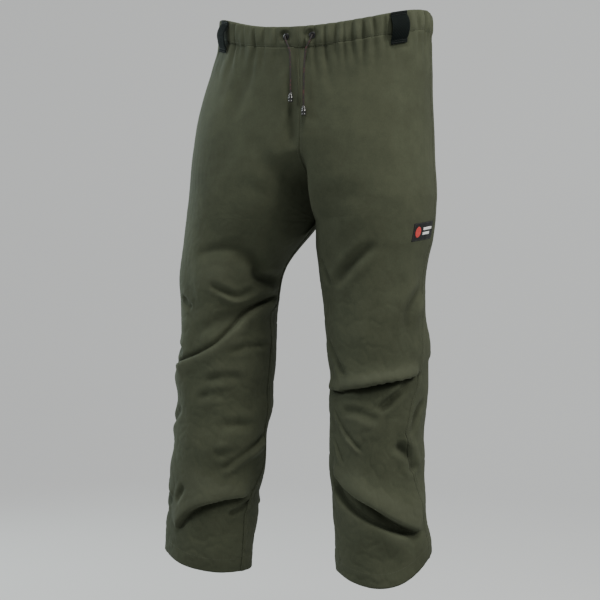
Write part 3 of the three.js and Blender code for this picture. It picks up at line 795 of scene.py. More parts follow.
class Drape:
    """Works out the creased outer face of both halves on one grid of rows and columns."""

    COLUMNS = 208
    ROWS = 331
    LEG_RADIUS = 93.0
    STRENGTH = 1.6

    def __init__(self, form: TrouserForm) -> None:
        """Keeps the form and lays out the rows, even in the mean of the outseam and centre seam.

        Args:
            form: the smooth form.
        """
        self.form = form
        self.seams = SeamPath()
        self.gathers = Gathers()
        self.broad = Ripple(3, 210, (1, 1, 1.3))
        self.soft = Ripple(4, 74, (1, 1, 1.25))
        self.crumple = Ripple(5, 34, (1, 1, 1), 26)
        fine = np.linspace(form.band, form.hem, 4000)
        side = form.point(Side.LEFT, np.full_like(fine, math.pi), fine)
        seam = form.point(Side.LEFT, form.start(fine), fine)
        step = lambda p: np.linalg.norm(np.diff(p, axis=0), axis=1)
        mean = np.concatenate([[0], np.cumsum((step(side) + step(seam)) / 2)])
        self.drops = np.interp(np.linspace(0, mean[-1], self.ROWS), mean, fine)
        self.turns = np.linspace(0, 1, self.COLUMNS + 1)

    def skins(self) -> dict[Side, Skin]:
        """Creased faces of both halves, with normals that agree along the centre seam.

        Returns:
            The faces by side.
        """
        made = {side: self.skin(side) for side in Side}
        Settling(self.form).settle(made)
        self.join_normals(made)
        return made

    def skin(self, side: Side) -> Skin:
        """Creased face of one half.

        Args:
            side: half of the garment.

        Returns:
            The face.
        """
        form = self.form
        turn, drop = np.meshgrid(self.turns, self.drops)
        start = form.start(drop)
        angle = start + turn * (TAU - 2 * start) + self.seams.warp(side, turn, drop)
        base = self.evened(side, angle, drop)
        normal = form.normal(side, angle, drop)
        down = unit(form.point(side, angle, drop + 0.5) - form.point(side, angle, drop - 0.5))
        height, slide = self.creases(side, angle, drop)
        height += self.wander(base, drop)
        height += self.gathers.height(side, angle, base, drop - form.band)
        height *= self.calm(turn, drop)
        height += self.seam_ridges(turn, drop)
        height += self.body_creases(base, drop)
        points = base + normal * height[..., None] + down * slide[..., None]
        points[..., 1] += self.fork_hollow(base, drop)
        across = np.concatenate([np.zeros((len(drop), 1)),
                                 np.cumsum(np.linalg.norm(np.diff(base, axis=1), axis=2), axis=1)], 1)
        across -= across[:, self.COLUMNS // 2, None]
        mid = base[:, self.COLUMNS // 2]
        length = run_along(mid)
        cut = np.stack([across * side.value, np.broadcast_to(-length[:, None], across.shape)], -1) * MM
        return Skin(side, angle, drop, base, normal, normal, points, cut, height)

    def evened(self, side: Side, angle: Array, drop: Array) -> Array:
        """Smooth surface with the bend at the level of the fork spread out, away from the fork itself.

        Each point is the mean of nine points above and below it, up to 56 mm apart at that level.

        Args:
            side: half of the garment.
            angle: radians from the inseam by the front.
            drop: millimetres below the waist.

        Returns:
            The points, millimetres.
        """
        reach = 14 * (1 - ease((np.abs(drop - self.form.rise) - 20) / 60))
        total = sum(self.form.point(side, angle, drop + k * reach) for k in range(-4, 5)) / 9
        outer = ease((np.arccos(np.clip(np.cos(angle), -1, 1)) - math.radians(62)) / math.radians(58))
        outer = outer[..., None]
        return self.form.point(side, angle, drop) * (1 - outer) + total * outer

    def creases(self, side: Side, angle: Array, drop: Array) -> tuple[Array, Array]:
        """Height and downward slide that the leg's creases and bulges add at every grid point.

        Args:
            side: half of the garment.
            angle: radians from the inseam by the front.
            drop: millimetres below the waist.

        Returns:
            Heights and slides, millimetres.
        """
        degrees = np.degrees(angle)
        height, slide = np.zeros_like(drop), np.zeros_like(drop)
        per_degree = math.radians(self.LEG_RADIUS)
        for crease in side.pick((LEFT_CREASES, RIGHT_CREASES)):
            line = smooth_line(np.array(crease.line, float), 6)
            middle = line[:, 0].mean()
            x = (middle + (degrees - middle + 180) % 360 - 180) * per_degree
            q, t = self.beside(x, drop, line * [per_degree, 1])
            ends = crease.ends(t)
            wobble = 1 + 0.22 * np.sin(t * 9 + line[0, 1])
            height += self.STRENGTH * ends * wobble * crease.profile(q)
            slide += self.STRENGTH * ends * crease.slide(q)
        for bulge in side.pick((LEFT_BULGES, RIGHT_BULGES)):
            x = wrapped(degrees - bulge.angle) * per_degree
            height += bulge.rise * np.exp(-((x / bulge.across) ** 2)
                                          - ((drop - bulge.drop) / bulge.down) ** 2)
        return height, slide

    def body_creases(self, base: Array, drop: Array) -> Array:
        """Height that the soft creases of the body's front and back add.

        Args:
            base: smooth points, millimetres.
            drop: millimetres below the waist.

        Returns:
            The heights, millimetres.
        """
        height = np.zeros_like(drop)
        for creases, face in ((FRONT_CREASES, base[..., 1] < 0), (BACK_CREASES, base[..., 1] > 0)):
            for crease in creases:
                line = smooth_line(np.array(crease.line, float), 6)
                q, t = self.beside(base[..., 0], drop, line)
                side_on = ease(np.abs(base[..., 1]) / 40)
                height += face * side_on * crease.ends(t) * crease.profile(q)
        return height

    def fork_hollow(self, base: Array, drop: Array) -> Array:
        """How far back the cloth is drawn beside the fork: a bell across, steep on the left leg's side.

        Args:
            base: smooth points, millimetres.
            drop: millimetres below the waist.

        Returns:
            The distances back, millimetres.
        """
        off = base[..., 0] - self.form.centre(drop)
        bell = np.where(off < 0, np.exp(-((off / 34) ** 2)), np.exp(-((off / 10) ** 2)))
        down = ease((drop - 240) / 80) * (1 - ease((drop - 384) / 46))
        front = ease(-base[..., 1] / 60)
        return 58 * bell * down * front

    @staticmethod
    def beside(x: Array, y: Array, line: Array) -> tuple[Array, Array]:
        """Signed distance under a line and share of the way along it, for every point.

        Args:
            x: places round the leg, millimetres.
            y: drops.
            line: N by 2 points of the line, in the same units.

        Returns:
            Distance, positive below the line, and the share of its length, 0 to 1.
        """
        best = np.full(x.shape, 1e9)
        signed, share = np.zeros(x.shape), np.zeros(x.shape)
        spans = np.diff(line, axis=0)
        lengths = np.linalg.norm(spans, axis=1)
        total, run = lengths.sum(), 0.0
        facing = 1.0 if line[-1, 0] >= line[0, 0] else -1.0
        for (ax, ay), (sx, sy), length in zip(line, spans, lengths):
            along = np.clip(((x - ax) * sx + (y - ay) * sy) / length**2, 0, 1)
            dx, dy = x - ax - along * sx, y - ay - along * sy
            far = np.hypot(dx, dy)
            closer = far < best
            side = np.sign(sx * (y - ay) - sy * (x - ax)) * facing
            best = np.where(closer, far, best)
            signed = np.where(closer, far * side, signed)
            share = np.where(closer, (run + along * length) / total, share)
            run += length
        return signed, share

    def wander(self, base: Array, drop: Array) -> Array:
        """Slow unevenness of hung cloth, stronger in the lower legs, with faint sharp crumples.

        Args:
            base: smooth points, millimetres.
            drop: millimetres below the waist.

        Returns:
            The heights, millimetres.
        """
        leg = ease((drop - 400) / 180)
        crumple = np.abs(self.crumple(base))
        return ((0.7 + 0.5 * leg) * self.broad(base) + (0.4 + 1.25 * leg) * self.soft(base)
                - (0.15 + 0.75 * leg) * (1 - np.minimum(crumple / 0.6, 1)) ** 1.5)

    def calm(self, turn: Array, drop: Array) -> Array:
        """Share of the creasing that is left near the centre seam and the fork.

        Args:
            turn: share of the way round the half, 0 to 1.
            drop: millimetres below the waist.

        Returns:
            The shares.
        """
        near_seam = np.minimum(turn, 1 - turn) * 2 * math.pi * 150
        body = 1 - ease((drop - (self.form.rise - 30)) / 60)
        seam = 1 - body * (1 - ease(near_seam / 14))
        fork = 1 - 0.9 * np.exp(-(((drop - self.form.rise) / 40) ** 2)) * (1 - ease(near_seam / 60))
        return seam * fork

    def seam_ridges(self, turn: Array, drop: Array) -> Array:
        """Felled seams: a step up at the seam line that falls away behind it, with slight puckers.

        Args:
            turn: share of the way round the half, 0 to 1.
            drop: millimetres below the waist.

        Returns:
            The heights, millimetres.
        """
        width = 9.0
        pucker = 0.25 * np.sin(drop * 0.62) * np.sin(drop * 0.171 + 1)
        radius = np.where(drop < self.form.rise, 130.0, self.LEG_RADIUS)
        out = (turn - 0.5) * TAU * radius
        height = (0.9 + pucker) * ease((out + 0.6) / 1.2) * (1 - ease((out - width + 1) / 2.5))
        inner = (1 - turn) * TAU * radius
        leg = ease((drop - self.form.rise + 4) / 8)
        height += leg * (0.9 + pucker) * (1 - ease((inner - width + 1) / 2.5))
        middle = np.minimum(turn, 1 - turn) * TAU * radius
        height += (1 - leg) * 0.8 * (1 - ease((middle - 5) / 2))
        return height

    def join_normals(self, skins: dict[Side, Skin]) -> None:
        """Works out normals of the creased faces, the mean of both sides along every seam.

        Args:
            skins: creased face of each half.
        """
        for side, skin in skins.items():
            p = skin.points
            round_ = np.gradient(p, axis=1)
            down = np.gradient(p, axis=0)
            leg = skin.drop[:, 0] >= self.form.rise
            wrap = (p[:, 1] - p[:, -2]) / 2
            round_[leg, 0] = round_[leg, -1] = wrap[leg]
            skin.normal = unit(np.cross(round_, down) * -side.value)
        left, right = skins[Side.LEFT].normal, skins[Side.RIGHT].normal
        body = skins[Side.LEFT].drop[:, 0] < self.form.rise
        for column in (0, -1):
            mean = unit(left[body, column] + right[body, column])
            left[body, column] = right[body, column] = mean


@dataclass
class Settling:
    """Lets the creased cloth settle under its own weight, with more length in it than it hangs in.

    The halves are joined into one coarse net, which Blender's cloth solver relaxes while soft pins hold
    it near its creases. How far each point moved is then added to the full grid.
    """

    form: TrouserForm
    stride: int = 2
    frames: int = 16
    surplus: float = 0.04
    hold: float = 0.25
    weight: float = 0.15
    limit: float = 9.0

    def settle(self, skins: dict[Side, Skin]) -> None:
        """Relaxes both halves and moves their points.

        Args:
            skins: creased face of each half.
        """
        left, right = skins[Side.LEFT], skins[Side.RIGHT]
        step = self.stride
        grids = [skin.points[::step, ::step] for skin in (left, right)]
        rows, columns = grids[0].shape[:2]
        ids = np.arange(2 * rows * columns).reshape(2, rows, columns)
        legs = left.drop[::step, 0] >= self.form.rise
        ids[:, legs, -1] = ids[:, legs, 0]
        ids[1, ~legs, 0] = ids[0, ~legs, 0]
        ids[1, ~legs, -1] = ids[0, ~legs, -1]
        used, compact = np.unique(ids, return_inverse=True)
        compact = compact.reshape(ids.shape)
        points = np.vstack([g.reshape(-1, 3) for g in grids])[used]
        drops = np.concatenate([skin.drop[::step, ::step].ravel() for skin in (left, right)])[used]
        faces = []
        for half, flip in ((compact[0], False), (compact[1], True)):
            quads = np.stack([half[:-1, :-1], half[1:, :-1], half[1:, 1:], half[:-1, 1:]], -1)
            quads = quads.reshape(-1, 4)
            faces.append(quads[:, ::-1] if flip else quads)
        moved = self.relax(points, np.vstack(faces), drops) - points
        far = np.linalg.norm(moved, axis=1, keepdims=True)
        moved *= np.tanh(far / self.limit) * self.limit / np.maximum(far, 1e-9)
        for n, skin in enumerate((left, right)):
            skin.points = skin.points + self.finer(moved[compact[n]])
        log.info("cloth settled: mean %.2f mm, most %.1f mm", far.mean(), far.max())

    def relax(self, points: Array, faces: Array, drops: Array) -> Array:
        """Runs the cloth solver on the net.

        Args:
            points: N by 3, millimetres.
            faces: M by 4.
            drops: N distances below the waist.

        Returns:
            The settled points, millimetres.
        """
        shell = Shell()
        shell.add(points, faces)
        net = shell.build("settling_net")
        net.shape_key_add(name="hung")
        longer = net.shape_key_add(name="longer")
        extra = self.surplus * np.maximum(0, drops - 395)
        rest = points.copy()
        rest[:, 2] -= extra
        longer.data.foreach_set("co", (rest * MM).astype(np.float32).ravel())
        longer.value = 0.0
        group = net.vertex_groups.new(name="hold")
        body = ease((drops - 60) / 330)
        weight = 1.0 - (1.0 - self.hold) * np.clip(0.3 * ease((drops - 44) / 40) + 0.7 * body, 0, 1)
        weight = np.maximum(weight, ease((drops - self.form.hem + 16) / 12))
        for value in np.unique(weight.round(2)):
            group.add(np.flatnonzero(weight.round(2) == value).tolist(), float(value), "REPLACE")
        cloth = net.modifiers.new("cloth", "CLOTH")
        settings = cloth.settings
        settings.quality = 6
        settings.mass = 0.15
        settings.tension_stiffness = 12
        settings.compression_stiffness = 12
        settings.shear_stiffness = 4
        settings.bending_stiffness = 0.25
        settings.tension_damping = settings.compression_damping = settings.shear_damping = 8
        settings.bending_damping = 1.0
        settings.air_damping = 4
        settings.rest_shape_key = longer
        settings.vertex_group_mass = "hold"
        settings.pin_stiffness = 1.0
        settings.effector_weights.gravity = self.weight
        cloth.collision_settings.use_collision = False
        scene = bpy.context.scene
        cloth.point_cache.frame_start, cloth.point_cache.frame_end = 1, self.frames
        for step in range(1, self.frames + 1):
            scene.frame_set(step)
        solved = net.evaluated_get(bpy.context.evaluated_depsgraph_get())
        out = np.empty(len(points) * 3, np.float32)
        solved.data.vertices.foreach_get("co", out)
        scene.frame_set(1)
        bpy.data.objects.remove(net)
        return out.reshape(-1, 3).astype(float) / MM

    def finer(self, coarse: Array) -> Array:
        """Field on the full grid: every second point, and cubic means of four between them.

        Args:
            coarse: values on every second row and column.

        Returns:
            The values on every row and column.
        """
        fine = coarse
        for axis in (0, 1):
            f = np.moveaxis(fine, axis, 0)
            p = np.concatenate([f[:1], f, f[-1:]])
            between = (9 * (p[1:-2] + p[2:-1]) - p[:-3] - p[3:]) / 16
            out = np.empty((2 * len(f) - 1, *f.shape[1:]))
            out[::2], out[1::2] = f, between
            fine = np.moveaxis(out, 0, axis)
        return fine


# ---- Finishes ---------------------------------------------------------------------------------------


class Bench:
    """Adds nodes to a material or a node group and joins them."""

    def __init__(self, tree: Tree) -> None:
        """Keeps the tree."""
        self.tree = tree

    def node(self, kind: str, settings: dict | None = None, **inputs: object) -> Node:
        """Adds a node.

        Args:
            kind: Blender's type name, as bpy spells it.
            settings: attributes of the node.
            inputs: values or output sockets by input name, with _ for a space, or i0, i1 by place.

        Returns:
            The node.
        """
        made = self.tree.nodes.new(kind)
        for key, value in (settings or {}).items():
            setattr(made, key, value)
        self.feed(made, **inputs)
        return made

    def feed(self, node: Node, **inputs: object) -> None:
        """Sets or joins a node's inputs.

        Args:
            node: the node.
            inputs: values or output sockets, named as for a new node.
        """
        for key, value in inputs.items():
            place = int(key[1:]) if key[0] == "i" and key[1:].isdigit() else key.replace("_", " ")
            socket = node.inputs[place]
            if isinstance(value, Socket):
                self.tree.links.new(value, socket)
            else:
                socket.default_value = value

    def math(self, operation: str, a: object, b: object = 0.0, c: object = 0.0) -> Socket:
        """Output of a Math node on up to three values or sockets."""
        return self.node("ShaderNodeMath", {"operation": operation}, i0=a, i1=b, i2=c).outputs[0]

    def mix(self, share: object, a: object, b: object, blend: str = "MIX") -> Socket:
        """Colour mixed from a to b by a share."""
        made = self.node("ShaderNodeMix", {"data_type": "RGBA", "blend_type": blend}, i0=share, i6=a, i7=b)
        return made.outputs[2]

    def noise(self, vector: object, scale: float, detail: float = 3.0,
              rough: float = 0.55) -> Socket:
        """Factor of a Noise node.

        Args:
            vector: where the noise is read.
            scale: noise cells in a metre.
            detail: octaves.
            rough: how much finer octaves count.

        Returns:
            The factor.
        """
        made = self.node("ShaderNodeTexNoise", None, Vector=vector, Scale=scale, Detail=detail,
                         Roughness=rough)
        return made.outputs["Fac"]


Started = tuple[Tree, Bench, Node, Node]


def new_group(name: str, inputs: Sequence[tuple[str, str, object]],
              outputs: Sequence[tuple[str, str]]) -> Started:
    """Starts a shader node group with named sockets.

    Args:
        name: of the group.
        inputs: (name, socket type, default) of each input.
        outputs: (name, socket type) of each output.

    Returns:
        The tree, a bench on it, its input node and its output node.
    """
    tree = bpy.data.node_groups.new(name, "ShaderNodeTree")
    for label, kind, default in inputs:
        socket = tree.interface.new_socket(label, in_out="INPUT", socket_type=kind)
        if default is not None:
            socket.default_value = default
    for label, kind in outputs:
        tree.interface.new_socket(label, in_out="OUTPUT", socket_type=kind)
    return tree, Bench(tree), tree.nodes.new("NodeGroupInput"), tree.nodes.new("NodeGroupOutput")


VALUE, VECTOR, COLOUR = "NodeSocketFloat", "NodeSocketVector", "NodeSocketColor"


class Groups:
    """Node groups that several finishes share, each built once."""

    def __init__(self) -> None:
        """Builds the weave, the mottle, and the crest mask of rubbing and painted highlight with the painted
        shade of crease valleys.
        """
        self.weave = self.build_weave()
        self.mottle = self.build_mottle()
        self.wear_and_painted_light = self.build_wear()

    @staticmethod
    def build_weave() -> Tree:
        """Twill weave on flat cloth coordinates.

        Height: a sine of the sum of the two thread counts, which gives the slanting twill lines, plus a
        weaker sine of each thread count, all wavering with noise. Shade: the height, less contrast.

        Returns:
            The node group.
        """
        tree, b, enter, leave = new_group(
            "twill weave",
            [("Cut", VECTOR, None), ("Threads", VALUE, 1100.0), ("Slub", VALUE, 0.5)],
            [("Height", VALUE), ("Shade", VALUE)])
        cut, threads = enter.outputs["Cut"], enter.outputs["Threads"]
        sway = b.noise(cut, 420.0, 2.0)
        split = b.node("ShaderNodeSeparateXYZ", None, Vector=cut)
        warp = b.math("MULTIPLY", split.outputs[0], threads)
        weft = b.math("MULTIPLY", split.outputs[1], threads)
        swayed = b.math("MULTIPLY", sway, enter.outputs["Slub"])
        slant = b.math("ADD", b.math("MULTIPLY", b.math("ADD", warp, weft), 2.1),
                       b.math("MULTIPLY", swayed, 6.0))
        twill = b.math("SINE", slant)
        across = b.math("SINE", b.math("MULTIPLY", warp, TAU))
        along = b.math("SINE", b.math("MULTIPLY", weft, TAU))
        threads_sum = b.math("MULTIPLY", b.math("ADD", across, along), 0.22)
        height = b.math("ADD", b.math("MULTIPLY", twill, 0.5), threads_sum)
        b.feed(leave, Height=height, Shade=b.math("MULTIPLY_ADD", height, 0.5, 0.5))
        return tree

    @staticmethod
    def build_mottle() -> Tree:
        """Uneven dye: broad, middle and fine noise added together, put out as a factor about one half.

        Returns:
            The node group.
        """
        tree, b, enter, leave = new_group(
            "mottle", [("Vector", VECTOR, None), ("Scale", VALUE, 1.0)], [("Factor", VALUE)])
        at = b.node("ShaderNodeVectorMath", {"operation": "SCALE"}, i0=enter.outputs["Vector"],
                    Scale=enter.outputs["Scale"]).outputs[0]
        broad = b.noise(at, 7.0, 3.0)
        middle = b.noise(at, 46.0, 4.0, 0.6)
        fine = b.noise(at, 420.0, 3.0, 0.65)
        mixed = b.math("ADD", b.math("MULTIPLY", broad, 0.45), b.math("MULTIPLY", middle, 0.3))
        b.feed(leave, Factor=b.math("MULTIPLY_ADD", fine, 0.25, mixed))
        return tree

    @staticmethod
    def build_wear() -> Tree:
        """Lighter crests, from rubbing and from painted highlight: the piece's relief in millimetres, broken
        up by noise, as a mask from 0 to 1. Also painted shade: a second mask for the crease valleys, where
        the relief sinks from -1 to -6 mm.

        Returns:
            The node group.
        """
        tree, b, enter, leave = new_group(
            "rubbed crests", [("Vector", VECTOR, None), ("From", VALUE, 1.0), ("To", VALUE, 6.0)],
            [("Mask", VALUE), ("Hollow", VALUE)])
        relief = b.node("ShaderNodeAttribute", {"attribute_name": "relief"}).outputs["Fac"]
        broken = b.math("MULTIPLY_ADD", b.noise(enter.outputs["Vector"], 130.0, 5.0, 0.7), 4.0, -2.0)
        raised = b.math("ADD", relief, broken)
        mask = b.node("ShaderNodeMapRange", {"interpolation_type": "SMOOTHSTEP"}, i0=raised,
                      i1=enter.outputs["From"], i2=enter.outputs["To"]).outputs[0]
        # painted shade: crease valleys, where the relief sinks below -1 mm, are marked for darkening
        hollow = b.node("ShaderNodeMapRange", {"interpolation_type": "SMOOTHSTEP"}, i0=relief,
                        i1=-1.0, i2=-6.0).outputs[0]
        b.feed(leave, Mask=mask, Hollow=hollow)
        return tree


def start_material(name: str) -> tuple[Material, Bench, Node]:
    """New node material with a bench and its Principled shader.

    Args:
        name: the material's name.

    Returns:
        The material, its bench and its shader.
    """
    material = bpy.data.materials.new(name)
    material.use_nodes = True
    bench = Bench(material.node_tree)
    return material, bench, material.node_tree.nodes["Principled BSDF"]


Rgb = tuple[float, float, float]


def rgba(colour: Rgb) -> tuple[float, float, float, float]:
    """Colour with full alpha."""
    return (*colour, 1.0)


@dataclass(frozen=True)
class ClothFinish:
    """Woven cloth: twill relief, uneven dye, crests made lighter by rubbing and by painted highlight, painted
    shade in the crease valleys, and a soft sheen.
    """

    name: str
    dark: Rgb
    light: Rgb
    crest_wear_and_highlight: Rgb
    threads: float = 1100.0
    bump: float = 0.25
    depth: float = 0.0002
    roughness: float = 0.9
    sheen: float = 0.15
    gloss: float = 0.2
    wear_and_painted_light: float = 0.35
    slub: float = 0.5

    def build(self, groups: Groups) -> Material:
        """Makes the material.

        Args:
            groups: the shared node groups.

        Returns:
            The material.
        """
        material, b, shader = start_material(self.name)
        place = b.node("ShaderNodeTexCoord").outputs["Object"]
        cut = b.node("ShaderNodeUVMap", {"uv_map": "cut"}).outputs[0]
        weave = b.node("ShaderNodeGroup", {"node_tree": groups.weave}, Cut=cut, Threads=self.threads,
                       Slub=self.slub)
        mottle = b.node("ShaderNodeGroup", {"node_tree": groups.mottle}, Vector=place, Scale=1.0)
        wear_and_painted_light = b.node("ShaderNodeGroup", {"node_tree": groups.wear_and_painted_light}, Vector=place, From=0.8, To=8.0)
        spread = b.math("MULTIPLY_ADD", mottle.outputs[0], 2.6, -0.8)
        dyed = b.mix(spread, rgba(self.dark), rgba(self.light))
        threaded = b.mix(b.math("MULTIPLY", weave.outputs["Shade"], 0.3), dyed, rgba(self.dark))
        # crests lighter by the relief mask: partly rubbing, partly painted highlight
        worn_and_highlit = b.mix(b.math("MULTIPLY", wear_and_painted_light.outputs["Mask"], self.wear_and_painted_light), threaded, rgba(self.crest_wear_and_highlight))
        # painted shade: crease valleys darkened towards six tenths of the dark dye
        hollow = b.mix(b.math("MULTIPLY", wear_and_painted_light.outputs["Hollow"], 0.3), worn_and_highlit,
                       rgba(tuple(0.6 * c for c in self.dark)))
        rough = b.math("MULTIPLY_ADD", mottle.outputs[0], 0.12, self.roughness - 0.06)
        nap = b.math("MULTIPLY", b.noise(place, 900.0, 3.0), 0.6)
        height = b.math("ADD", weave.outputs["Height"], nap)
        bump = b.node("ShaderNodeBump", None, Strength=self.bump, Distance=self.depth, Height=height)
        b.feed(shader, Base_Color=hollow, Roughness=rough, Normal=bump.outputs[0], Sheen_Weight=self.sheen,
               Sheen_Roughness=0.5, Sheen_Tint=rgba(self.crest_wear_and_highlight), Specular_IOR_Level=self.gloss)
        return material


@dataclass(frozen=True)
class BraidFinish:
    """Braided cord: dark yarn with flecks of a second colour that follow the braid."""

    name: str
    yarn: Rgb
    fleck: Rgb
    share: float = 0.6
    pitch: float = 520.0

    def build(self, groups: Groups) -> Material:
        """Makes the material.

        Args:
            groups: the shared node groups.

        Returns:
            The material.
        """
        material, b, shader = start_material(self.name)
        cut = b.node("ShaderNodeUVMap", {"uv_map": "cut"}).outputs[0]
        place = b.node("ShaderNodeTexCoord").outputs["Object"]
        split = b.node("ShaderNodeSeparateXYZ", None, Vector=cut)
        round_ = b.math("MULTIPLY", split.outputs[0], 4.0)
        along = b.math("MULTIPLY", split.outputs[1], self.pitch)
        one = b.math("SINE", b.math("MULTIPLY", b.math("ADD", round_, along), TAU / 2))
        two = b.math("SINE", b.math("MULTIPLY", b.math("SUBTRACT", round_, along), TAU / 2))
        braid = b.math("MULTIPLY", one, two)
        spots = b.math("GREATER_THAN", b.noise(place, 260.0, 1.0), self.share)
        marked = b.math("MULTIPLY", spots, b.math("GREATER_THAN", braid, 0.0))
        mottle = b.node("ShaderNodeGroup", {"node_tree": groups.mottle}, Vector=place, Scale=2.0)
        yarn = b.mix(mottle.outputs[0], rgba(self.yarn), rgba(tuple(2.2 * c for c in self.yarn)))
        bump = b.node("ShaderNodeBump", None, Strength=0.5, Distance=0.0002, Height=braid)
        b.feed(shader, Base_Color=b.mix(marked, yarn, rgba(self.fleck)), Normal=bump.outputs[0],
               Roughness=b.math("MULTIPLY_ADD", mottle.outputs[0], 0.2, 0.6), Specular_IOR_Level=0.35)
        return material


@dataclass(frozen=True)
class HardFinish:
    """Moulded plastic or enamelled metal with fine scuffs."""

    name: str
    colour: Rgb
    scuff: Rgb
    roughness: float
    metallic: float = 0.0
    coat: float = 0.0

    def build(self, groups: Groups) -> Material:
        """Makes the material.

        Args:
            groups: the shared node groups.

        Returns:
            The material.
        """
        material, b, shader = start_material(self.name)
        place = b.node("ShaderNodeTexCoord").outputs["Object"]
        mottle = b.node("ShaderNodeGroup", {"node_tree": groups.mottle}, Vector=place, Scale=6.0)
        scuffed = b.math("MULTIPLY", b.math("GREATER_THAN", b.noise(place, 1500.0, 4.0, 0.7), 0.62), 0.5)
        rough = b.math("MULTIPLY_ADD", mottle.outputs[0], 0.25, self.roughness - 0.1)
        bump = b.node("ShaderNodeBump", None, Strength=0.15, Distance=0.0001, Height=mottle.outputs[0])
        b.feed(shader, Base_Color=b.mix(scuffed, rgba(self.colour), rgba(self.scuff)), Roughness=rough,
               Normal=bump.outputs[0], Metallic=self.metallic, Coat_Weight=self.coat)
        return material


class Finishes:
    """Every finish of the garment."""

    def __init__(self) -> None:
        """Builds the materials."""
        g = Groups()
        olive_dark, olive_light = (0.029, 0.033, 0.0195), (0.060, 0.067, 0.041)
        self.cloth = ClothFinish("olive work cloth", olive_dark, olive_light, (0.092, 0.098, 0.068),
                                 wear_and_painted_light=0.2).build(g)
        self.band = ClothFinish("olive band cloth", olive_dark, olive_light, (0.11, 0.118, 0.082),
                                wear_and_painted_light=0.12).build(g)
        self.webbing = ClothFinish("black ribbed webbing", (0.003, 0.0045, 0.0042), (0.007, 0.0095, 0.009),
                                   (0.018, 0.022, 0.021), threads=640.0, bump=0.6, depth=0.0004,
                                   roughness=0.85, sheen=0.0, gloss=0.06, slub=0.15).build(g)
        self.elastic = ClothFinish("white elastic", (0.5, 0.49, 0.46), (0.68, 0.67, 0.63),
                                   (0.75, 0.74, 0.7), threads=900.0, bump=0.5).build(g)
        self.pad = ClothFinish("cut layer", (0.62, 0.59, 0.5), (0.8, 0.78, 0.7), (0.85, 0.84, 0.78),
                               threads=420.0, bump=0.8, depth=0.0006, slub=1.4).build(g)
        self.lining = ClothFinish("dark lining", (0.018, 0.021, 0.019), (0.03, 0.034, 0.031),
                                  (0.06, 0.066, 0.06), threads=1500.0, roughness=0.7).build(g)
        self.thread = ClothFinish("olive thread", (0.045, 0.05, 0.034), (0.085, 0.092, 0.064),
                                  (0.12, 0.125, 0.095), threads=4000.0, roughness=0.6).build(g)
        self.black_thread = ClothFinish("black thread", (0.012, 0.013, 0.013), (0.03, 0.032, 0.032),
                                        (0.06, 0.062, 0.062), threads=4000.0, roughness=0.5).build(g)
        self.label_thread = ClothFinish("label thread", (0.02, 0.021, 0.021), (0.05, 0.052, 0.052),
                                        (0.1, 0.1, 0.1), threads=4000.0, roughness=0.5).build(g)
        self.label = ClothFinish("woven black label", (0.006, 0.0065, 0.0065), (0.012, 0.013, 0.013),
                                 (0.03, 0.031, 0.031), threads=2200.0, roughness=0.6).build(g)
        self.red = ClothFinish("red label yarn", (0.36, 0.03, 0.03), (0.52, 0.06, 0.05),
                               (0.6, 0.12, 0.1), threads=2600.0, roughness=0.55).build(g)
        self.pale = ClothFinish("pale label yarn", (0.5, 0.51, 0.5), (0.7, 0.71, 0.7),
                                (0.78, 0.79, 0.78), threads=2600.0, roughness=0.55).build(g)
        self.care = ClothFinish("white satin tape", (0.68, 0.68, 0.66), (0.82, 0.82, 0.8),
                                (0.85, 0.85, 0.84), threads=2600.0, roughness=0.45).build(g)
        self.cord = BraidFinish("flecked braid", (0.008, 0.006, 0.006), (0.085, 0.022, 0.018)).build(g)
        self.cord_hidden = BraidFinish("plain braid", (0.010, 0.008, 0.008), (0.05, 0.02, 0.02), 0.7).build(g)
        self.moulding = HardFinish("black moulding", (0.008, 0.008, 0.008), (0.03, 0.03, 0.03), 0.25,
                                   coat=0.6).build(g)
        self.enamel = HardFinish("blackened metal", (0.035, 0.035, 0.036), (0.2, 0.2, 0.2), 0.35,
                                 metallic=0.9).build(g)


def coat(piece: Piece, material: Material) -> None:
    """Gives an object one material and no other."""
    piece.data.materials.clear()
    piece.data.materials.append(material)


def dress(piece: Piece, material: Material, slot: str | None, *nodes: str,
          body: str = "trousers") -> Piece:
    """Gives a piece its finish and its body, and hides the CAD nodes that it stands for.

    Args:
        piece: the object.
        material: its finish.
        nodes: the CAD nodes that it stands for.
        slot: not used.

    Returns:
        The same object.
    """
    coat(piece, material)
    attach(piece, body)
    if nodes:
        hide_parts(*nodes)
    log.info("%s: %d faces", piece.name, len(piece.data.polygons))
    return piece


# ---- Cloth pieces -----------------------------------------------------------------------------------


@dataclass
class LegPanels:
    """The four outer panels, cut from the creased skins."""

    skins: dict[Side, Skin]
    cloth: float = 1.2
    hem_turn: float = 26.0
    hem_extra: float = 1.3

    def build(self, finish: Material) -> list[Piece]:
        """Makes the front and back panel of each half.

        Args:
            finish: the material.

        Returns:
            The panels.
        """
        made = []
        for side, skin in self.skins.items():
            middle = skin.points.shape[1] // 2
            for word, columns in (("front", slice(0, middle + 1)), ("back", slice(middle, None))):
                made.append(self.panel(side, skin, word, columns, finish))
        return made

    def panel(self, side: Side, skin: Skin, word: str, columns: slice,
              finish: Material) -> Piece:
        """Makes one panel: its outer face, an inner face that thickens in the hem, and its rim.

        Args:
            side: half of the garment.
            skin: creased face of the half.
            word: front or back.
            columns: grid columns to take.
            finish: the material.

        Returns:
            The panel.
        """
        outer = skin.points[:, columns]
        above_hem = skin.drop[-1, 0] - skin.drop[:, columns]
        turned = 1 - ease((above_hem - self.hem_turn + 0.8) / 1.6)
        outer = outer + skin.normal[:, columns] * (0.35 * turned)[..., None]
        inner = outer - skin.normal[:, columns] * (self.cloth + self.hem_extra * turned)[..., None]
        panel = slab(f"{word}_leg_panel_{side.word}", outer, inner, skin.cut[:, columns],
                     side is Side.RIGHT, skin.relief[:, columns])
        dress(panel, finish, "cloth", f"{word}_panel_{side.word}")
        return panel


